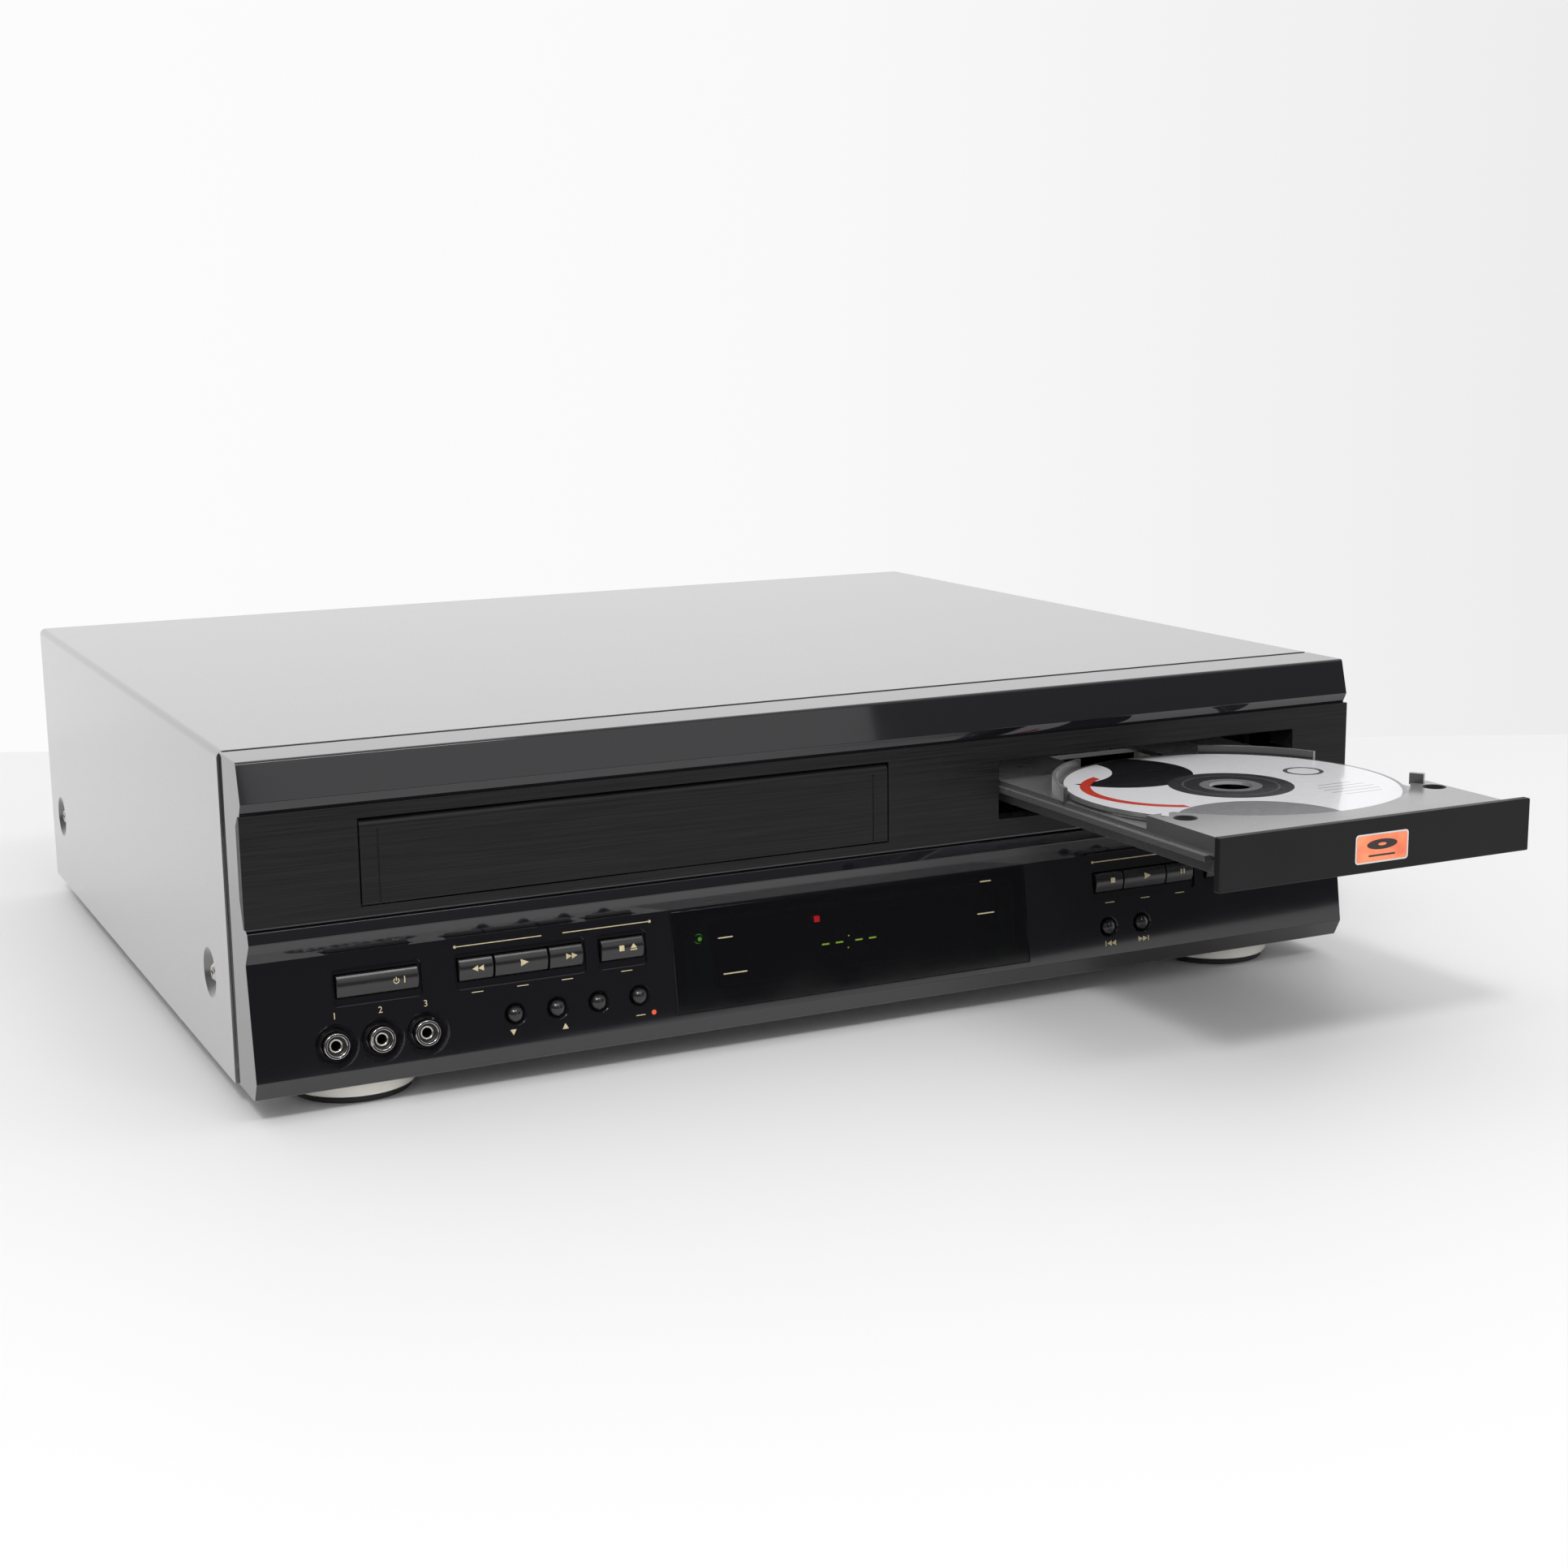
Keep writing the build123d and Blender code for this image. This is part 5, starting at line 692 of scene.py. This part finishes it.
tray_satin, tray_tree, tray_shader = new_finish("tray_satin", (0.018, 0.018, 0.019), 0.3)
tray_shader.inputs["IOR"].default_value = 1.8
raise_grain(tray_tree, tray_shader, noise_on_object(tray_tree, 2600.0, 2.0), 0.10, 0.00003)
vary_roughness(tray_tree, tray_shader, noise_on_object(tray_tree, 45.0), 0.22, 0.32)
tray_shader.inputs["Coat Weight"].default_value = 0.8
tray_shader.inputs["Coat Roughness"].default_value = 0.15
tray_shader.inputs["Sheen Weight"].default_value = 0.35
door_satin, door_tree, door_shader = new_finish("door_satin", (0.010, 0.010, 0.011), 0.4)
door_shader.inputs["Specular IOR Level"].default_value = 0.2
raise_grain(door_tree, door_shader, noise_on_object(door_tree, 2600.0, 2.0), 0.10, 0.00003)
vary_roughness(door_tree, door_shader, noise_on_object(door_tree, 45.0), 0.34, 0.46)
eased("disc_tray", [tray_satin], radius=0.0003)
eased("tray_door", [door_satin], radius=0.0003)

# ---------------------------------------------------------------- disc
# White printed disc with a dark clamping ring and a grey hub and rim. Its plain design has
# a black sweep, a red arc, a thin ring, some rules and a grey field.

disc_low, disc_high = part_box("disc")
disc_center = [(disc_low[axis] + disc_high[axis]) / 2 for axis in range(3)]
label, label_tree, label_shader = new_finish("disc_label", (0.82, 0.82, 0.84), 0.2)
label_shader.inputs["Coat Weight"].default_value = 0.5
label_shader.inputs["Coat Roughness"].default_value = 0.05


def math_node(kind, first, second=None):
    """One Math node of the label's pattern; numbers or outputs feed it."""
    node = label_tree.nodes.new("ShaderNodeMath")
    node.operation = kind
    for slot, value in enumerate((first, second)):
        if value is None:
            continue
        if isinstance(value, (int, float)):
            node.inputs[slot].default_value = value
        else:
            label_tree.links.new(value, node.inputs[slot])
    return node.outputs[0]


def over(mask, below, colour):
    """A printed colour over what lies below it."""
    mix = label_tree.nodes.new("ShaderNodeMix")
    mix.data_type = "RGBA"
    label_tree.links.new(mask, mix.inputs["Factor"])
    if isinstance(below, tuple):
        mix.inputs["A"].default_value = (*below, 1.0)
    else:
        label_tree.links.new(below, mix.inputs["A"])
    mix.inputs["B"].default_value = (*colour, 1.0)
    return mix.outputs["Result"]


label_place = label_tree.nodes.new("ShaderNodeTexCoord")
label_shift = label_tree.nodes.new("ShaderNodeMapping")
label_shift.inputs["Location"].default_value = [-value * 1000 for value in disc_center]
label_shift.inputs["Scale"].default_value = (1000.0, 1000.0, 1000.0)
label_axes = label_tree.nodes.new("ShaderNodeSeparateXYZ")
label_tree.links.new(label_place.outputs["Object"], label_shift.inputs["Vector"])
label_tree.links.new(label_shift.outputs["Vector"], label_axes.inputs["Vector"])
label_x, label_y = label_axes.outputs["X"], label_axes.outputs["Y"]


def distance_from(x, y):
    """Distance on the label from a point, in millimetres."""
    across = math_node("SUBTRACT", label_x, x)
    along = math_node("SUBTRACT", label_y, y)
    square = math_node("ADD", math_node("POWER", across, 2.0), math_node("POWER", along, 2.0))
    return math_node("SQRT", square)


def within(x, y, radius):
    """Where the label is nearer to a point than a radius."""
    return math_node("LESS_THAN", distance_from(x, y), radius)


def thin_ring(x, y, radius, half_width):
    """Where the label is within half a line's width of a circle."""
    off_circle = math_node("ABSOLUTE", math_node("SUBTRACT", distance_from(x, y), radius))
    return math_node("LESS_THAN", off_circle, half_width)


grey_field = within(-24.0, -52.0, 30.0)
outside_bite = math_node("SUBTRACT", 1.0, within(-44.0, 52.0, 24.0))
black_sweep = math_node("MULTIPLY", within(-22.0, 38.0, 27.0), outside_bite)
left_part = math_node("LESS_THAN", label_x, -34.0)
red_arc = math_node("MULTIPLY", thin_ring(-20.0, 6.0, 31.0, half_width=1.9), left_part)
rule_pitch, rule_share = 4.0, 0.22
along_pitch = math_node("FRACT", math_node("DIVIDE", label_y, rule_pitch))
rules = math_node("LESS_THAN", along_pitch, rule_share)
grey_rules = math_node("MULTIPLY", rules, within(33.0, -24.0, 11.0))

paper = (0.82, 0.82, 0.84)
for mask, ink in (
    (grey_field, (0.22, 0.22, 0.23)),
    (black_sweep, (0.012, 0.012, 0.014)),
    (red_arc, (0.62, 0.05, 0.03)),
    (thin_ring(38.0, 8.0, 6.5, half_width=0.8), (0.10, 0.10, 0.12)),
    (grey_rules, (0.45, 0.45, 0.48)),
    (within(0.0, 0.0, 22.0), (0.035, 0.035, 0.038)),
    (within(0.0, 0.0, 17.2), (0.10, 0.10, 0.11)),
    (within(0.0, 0.0, 16.4), (0.03, 0.03, 0.033)),
    (within(0.0, 0.0, 11.0), (0.20, 0.20, 0.21)),
    (math_node("GREATER_THAN", distance_from(0.0, 0.0), 58.6), (0.12, 0.12, 0.12)),
):
    paper = over(mask, paper, ink)
label_tree.links.new(paper, label_shader.inputs["Base Color"])
vary_roughness(label_tree, label_shader, noise_on_object(label_tree, 300.0), 0.16, 0.24)
dress(["disc"], label)

# ---------------------------------------------------------------- door label
# A small foil label on the tray's door: orange with a silver edge and a plain sign of a
# disc over a line. Its four thin sheets overlap, each a little farther out.

door_low, door_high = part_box("tray_door")
label_right, label_height = 0.0009, 0.0801
label_x_middle = (door_low[0] + door_high[0]) / 2 + label_right
label_middle = Vector((label_x_middle, door_low[1], label_height))
orange, orange_tree, orange_shader = new_finish("orange_foil", (0.85, 0.22, 0.10), 0.3)
vary_colour(
    orange_tree, orange_shader, noise_on_object(orange_tree, 120.0), (0.80, 0.17, 0.08),
    (0.90, 0.30, 0.14),
)
silver, silver_tree, silver_shader = new_finish("silver_foil", (0.75, 0.75, 0.76), 0.25, 0.6)
vary_roughness(silver_tree, silver_shader, noise_on_object(silver_tree, 400.0), 0.2, 0.35)
sign_black, sign_tree, sign_shader = new_finish("sign_black", (0.03, 0.02, 0.02), 0.4)
vary_roughness(sign_tree, sign_shader, noise_on_object(sign_tree, 400.0), 0.35, 0.5)


def rounded_box(width, height, corner, count=5):
    """Outline of a rectangle with round corners, about its middle, in millimetres."""
    outline = []
    for turn, sx, sy in ((0, 1, 1), (1, -1, 1), (2, -1, -1), (3, 1, -1)):
        for index in range(count + 1):
            angle = math.pi / 2 * (turn + index / count)
            outline.append((
                sx * (width / 2 - corner) + corner * math.cos(angle),
                sy * (height / 2 - corner) + corner * math.sin(angle),
            ))
    return outline


def door_sheet(name, outlines, low, high, material):
    """Thin plates on the door's face, from one height off it to another."""
    form = bmesh.new()
    for outline in outlines:
        lower = [form.verts.new(label_middle + Vector((x, -low, z)) * mm) for x, z in outline]
        upper = [form.verts.new(label_middle + Vector((x, -high, z)) * mm) for x, z in outline]
        form.faces.new(lower)
        form.faces.new(upper)
        for index in range(len(outline)):
            after = (index + 1) % len(outline)
            form.faces.new((lower[index], lower[after], upper[after], upper[index]))
    bmesh.ops.recalc_face_normals(form, faces=form.faces)
    mesh = bpy.data.meshes.new(name)
    form.to_mesh(mesh)
    form.free()
    add_piece(name, mesh, material, "tray_door")


sign_lift = 1.1
disc_sign = oval_outline(0.0, sign_lift, half_width=6.2, half_height=1.7, count=28)
hole_sign = oval_outline(0.0, sign_lift, half_width=1.7, half_height=0.5, count=16)
line_sign = bar(-5.4, -2.8, 5.4, -2.2)
for name, outlines, low, high, foil in (
    ("label_edge", [rounded_box(21.6, 9.8, corner=1.2)], -0.02, 0.05, silver),
    ("label_field", [rounded_box(20.6, 8.8, corner=0.9)], 0.03, 0.08, orange),
    ("label_sign", [disc_sign, line_sign], 0.06, 0.11, sign_black),
    ("label_hole", [hole_sign], 0.09, 0.14, orange),
):
    door_sheet(name, outlines, low, high, foil)

# ---------------------------------------------------------------- cover and screws
# Folded steel cover in dark satin paint, with pressed seats for its side screws. The paint
# mirrors the white wall softly at a slant, and looks almost black from straight on.

cover_paint, cover_tree, cover_shader = new_finish("cover_paint", (0.045, 0.044, 0.047), 0.3)
cover_shader.inputs["IOR"].default_value = 1.9
cover_shader.inputs["Coat Weight"].default_value = 1.0
cover_shader.inputs["Coat Roughness"].default_value = 0.22
cover_shader.inputs["Coat IOR"].default_value = 1.7
cover_shader.inputs["Sheen Weight"].default_value = 0.4
cover_shader.inputs["Sheen Roughness"].default_value = 0.4
cover_grain = noise_on_object(cover_tree, 3200.0, 2.0)
vary_roughness(cover_tree, cover_shader, cover_grain, 0.27, 0.33)
eased("top_cover", [cover_paint], radius=0.0003)

screw_metal, screw_tree, screw_shader = new_finish("screw_metal", (0.60, 0.58, 0.52), 0.3, 1.0)
vary_roughness(screw_tree, screw_shader, noise_on_object(screw_tree, 900.0), 0.2, 0.4)
dress(["case_screws"], screw_metal)

# ---------------------------------------------------------------- table, light and camera
# White table that ends a little behind the player, white walls round it and a dark room in
# front, so that the black front stays black. Four soft lamps in front cast the shadows.

table_white = bpy.data.materials.new("table_white")
table_white.use_nodes = True
table_shader = table_white.node_tree.nodes["Principled BSDF"]
table_shader.inputs["Base Color"].default_value = (0.81, 0.81, 0.81, 1.0)
table_shader.inputs["Roughness"].default_value = 0.5
table_shader.inputs["Specular IOR Level"].default_value = 0.2

camera_place = Vector((-0.37953, -0.83758, 0.25539))
camera_turn = 0.4550123
camera_dip = 0.1997006
camera_roll = -0.0114004
photo_pixels = 1932
focal_pixels = 2938.736
table_reach = 1.383

ahead = Vector((math.sin(camera_turn), math.cos(camera_turn), 0))
aside = Vector((math.cos(camera_turn), -math.sin(camera_turn), 0))
table_back = Vector((camera_place.x, camera_place.y, 0)) + ahead * table_reach
table_half = 2.2
table_front = 1.03

table_mesh = bpy.data.meshes.new("table")
table_corners = [
    table_back - aside * table_half - ahead * table_front,
    table_back + aside * table_half - ahead * table_front,
    table_back + aside * table_half,
    table_back - aside * table_half,
]
table_mesh.from_pydata([tuple(corner) for corner in table_corners], [], [(0, 1, 2, 3)])
table_mesh.materials.append(table_white)
table = bpy.data.objects.new("table", table_mesh)
bpy.context.scene.collection.objects.link(table)

lamp_target = Vector((0.05, -0.12, 0.05))


def soft_lamp(name, turn, rise, distance, width, depth, power):
    """An area lamp, placed by its angle from the front (left is negative) and its rise."""
    turn, rise = math.radians(turn), math.radians(rise)
    level = math.cos(rise)
    toward = Vector((math.sin(turn) * level, -math.cos(turn) * level, math.sin(rise)))
    light = bpy.data.lights.new(name, "AREA")
    light.shape = "RECTANGLE"
    light.size = width
    light.size_y = depth
    light.energy = power
    lamp = bpy.data.objects.new(name, light)
    lamp.location = lamp_target + toward * distance
    lamp.rotation_euler = (-toward).to_track_quat("-Z", "Y").to_euler()
    bpy.context.scene.collection.objects.link(lamp)


soft_lamp("lamp_main", -35, 46, distance=4.0, width=0.54, depth=0.54, power=46.0)
soft_lamp("lamp_right", 10, 49, distance=4.4, width=1.6, depth=0.6, power=26.0)
soft_lamp("lamp_far_left", -56, 51, distance=4.0, width=1.0, depth=1.0, power=10.0)
soft_lamp("lamp_glance", 18, 24, distance=2.6, width=0.9, depth=0.9, power=1.5)

world = bpy.data.worlds.new("studio")
bpy.context.scene.world = world
world.use_nodes = True
world.cycles.sampling_method = "NONE"
sky = world.node_tree
sky.nodes.clear()


def sky_node(kind, **inputs):
    """A node of the studio's light, with values or links on its named inputs."""
    node = sky.nodes.new(kind)
    for name, value in inputs.items():
        socket = node.inputs[name.replace("_", " ")]
        if isinstance(value, (int, float)):
            socket.default_value = value
        else:
            sky.links.new(value, socket)
    return node


def sky_range(value, low, high, to_low, to_high):
    """Moves a value from one range to another."""
    node = sky_node(
        "ShaderNodeMapRange", Value=value, From_Min=low, From_Max=high, To_Min=to_low,
        To_Max=to_high,
    )
    return node.outputs["Result"]


def sky_blend(factor, first, second):
    """A value between two, by a factor."""
    node = sky.nodes.new("ShaderNodeMix")
    node.data_type = "FLOAT"
    sky.links.new(factor, node.inputs["Factor"])
    for slot, value in (("A", first), ("B", second)):
        if isinstance(value, (int, float)):
            node.inputs[slot].default_value = value
        else:
            sky.links.new(value, node.inputs[slot])
    return node.outputs["Result"]


direction = sky_node("ShaderNodeTexCoord")
from_camera = sky_node("ShaderNodeMapping", Vector=direction.outputs["Generated"])
from_camera.inputs["Rotation"].default_value = (0, 0, camera_turn)
parts = sky_node("ShaderNodeSeparateXYZ", Vector=from_camera.outputs["Vector"])
across, along, rise = parts.outputs["X"], parts.outputs["Y"], parts.outputs["Z"]

low_front = sky_range(rise, 0.05, 0.2, 0.06, 0.12)
high_front = sky_range(rise, 0.2, 0.7, 0.0, 0.38)
front_sum = sky_node("ShaderNodeMath", Value=low_front)
sky.links.new(high_front, front_sum.inputs[1])
wall_left = sky_range(across, -0.31, 0.0, 0.98, 0.955)
wall_right = sky_range(across, 0.0, 0.31, 0.0, -0.105)
wall_sum = sky_node("ShaderNodeMath", Value=wall_left)
sky.links.new(wall_right, wall_sum.inputs[1])
wall_share = sky_range(along, -0.1, 0.25, 0.0, 1.0)
glossy_light = sky_blend(wall_share, front_sum.outputs[0], wall_sum.outputs[0])
rays = sky_node("ShaderNodeLightPath")
seen = sky_blend(rays.outputs["Is Camera Ray"], glossy_light, wall_sum.outputs[0])
seen = sky_blend(rays.outputs["Is Transmission Ray"], seen, wall_sum.outputs[0])
diffuse_light = 0.85
strength = sky_blend(rays.outputs["Is Diffuse Ray"], seen, diffuse_light)
glow = sky_node("ShaderNodeBackground", Strength=strength)
glow.inputs["Color"].default_value = (1.0, 0.995, 1.0, 1.0)
sky_out = sky.nodes.new("ShaderNodeOutputWorld")
sky.links.new(glow.outputs["Background"], sky_out.inputs["Surface"])

view_ahead = ahead * math.cos(camera_dip) - Vector((0, 0, math.sin(camera_dip)))
view_right = view_ahead.cross(Vector((0, 0, 1))).normalized()
view_up = view_right.cross(view_ahead)
right = view_right * math.cos(camera_roll) + view_up * math.sin(camera_roll)
up = view_up * math.cos(camera_roll) - view_right * math.sin(camera_roll)
turn = Matrix((right, up, -view_ahead)).transposed()

camera_data = bpy.data.cameras.new("photo_camera")
camera_data.sensor_width = 36.0
camera_data.lens = camera_data.sensor_width * focal_pixels / photo_pixels
camera_data.clip_start = 0.01
camera = bpy.data.objects.new("photo_camera", camera_data)
camera.matrix_world = Matrix.Translation(camera_place) @ turn.to_4x4()
bpy.context.scene.collection.objects.link(camera)
bpy.context.scene.camera = camera

bpy.context.scene.view_settings.view_transform = "Standard"
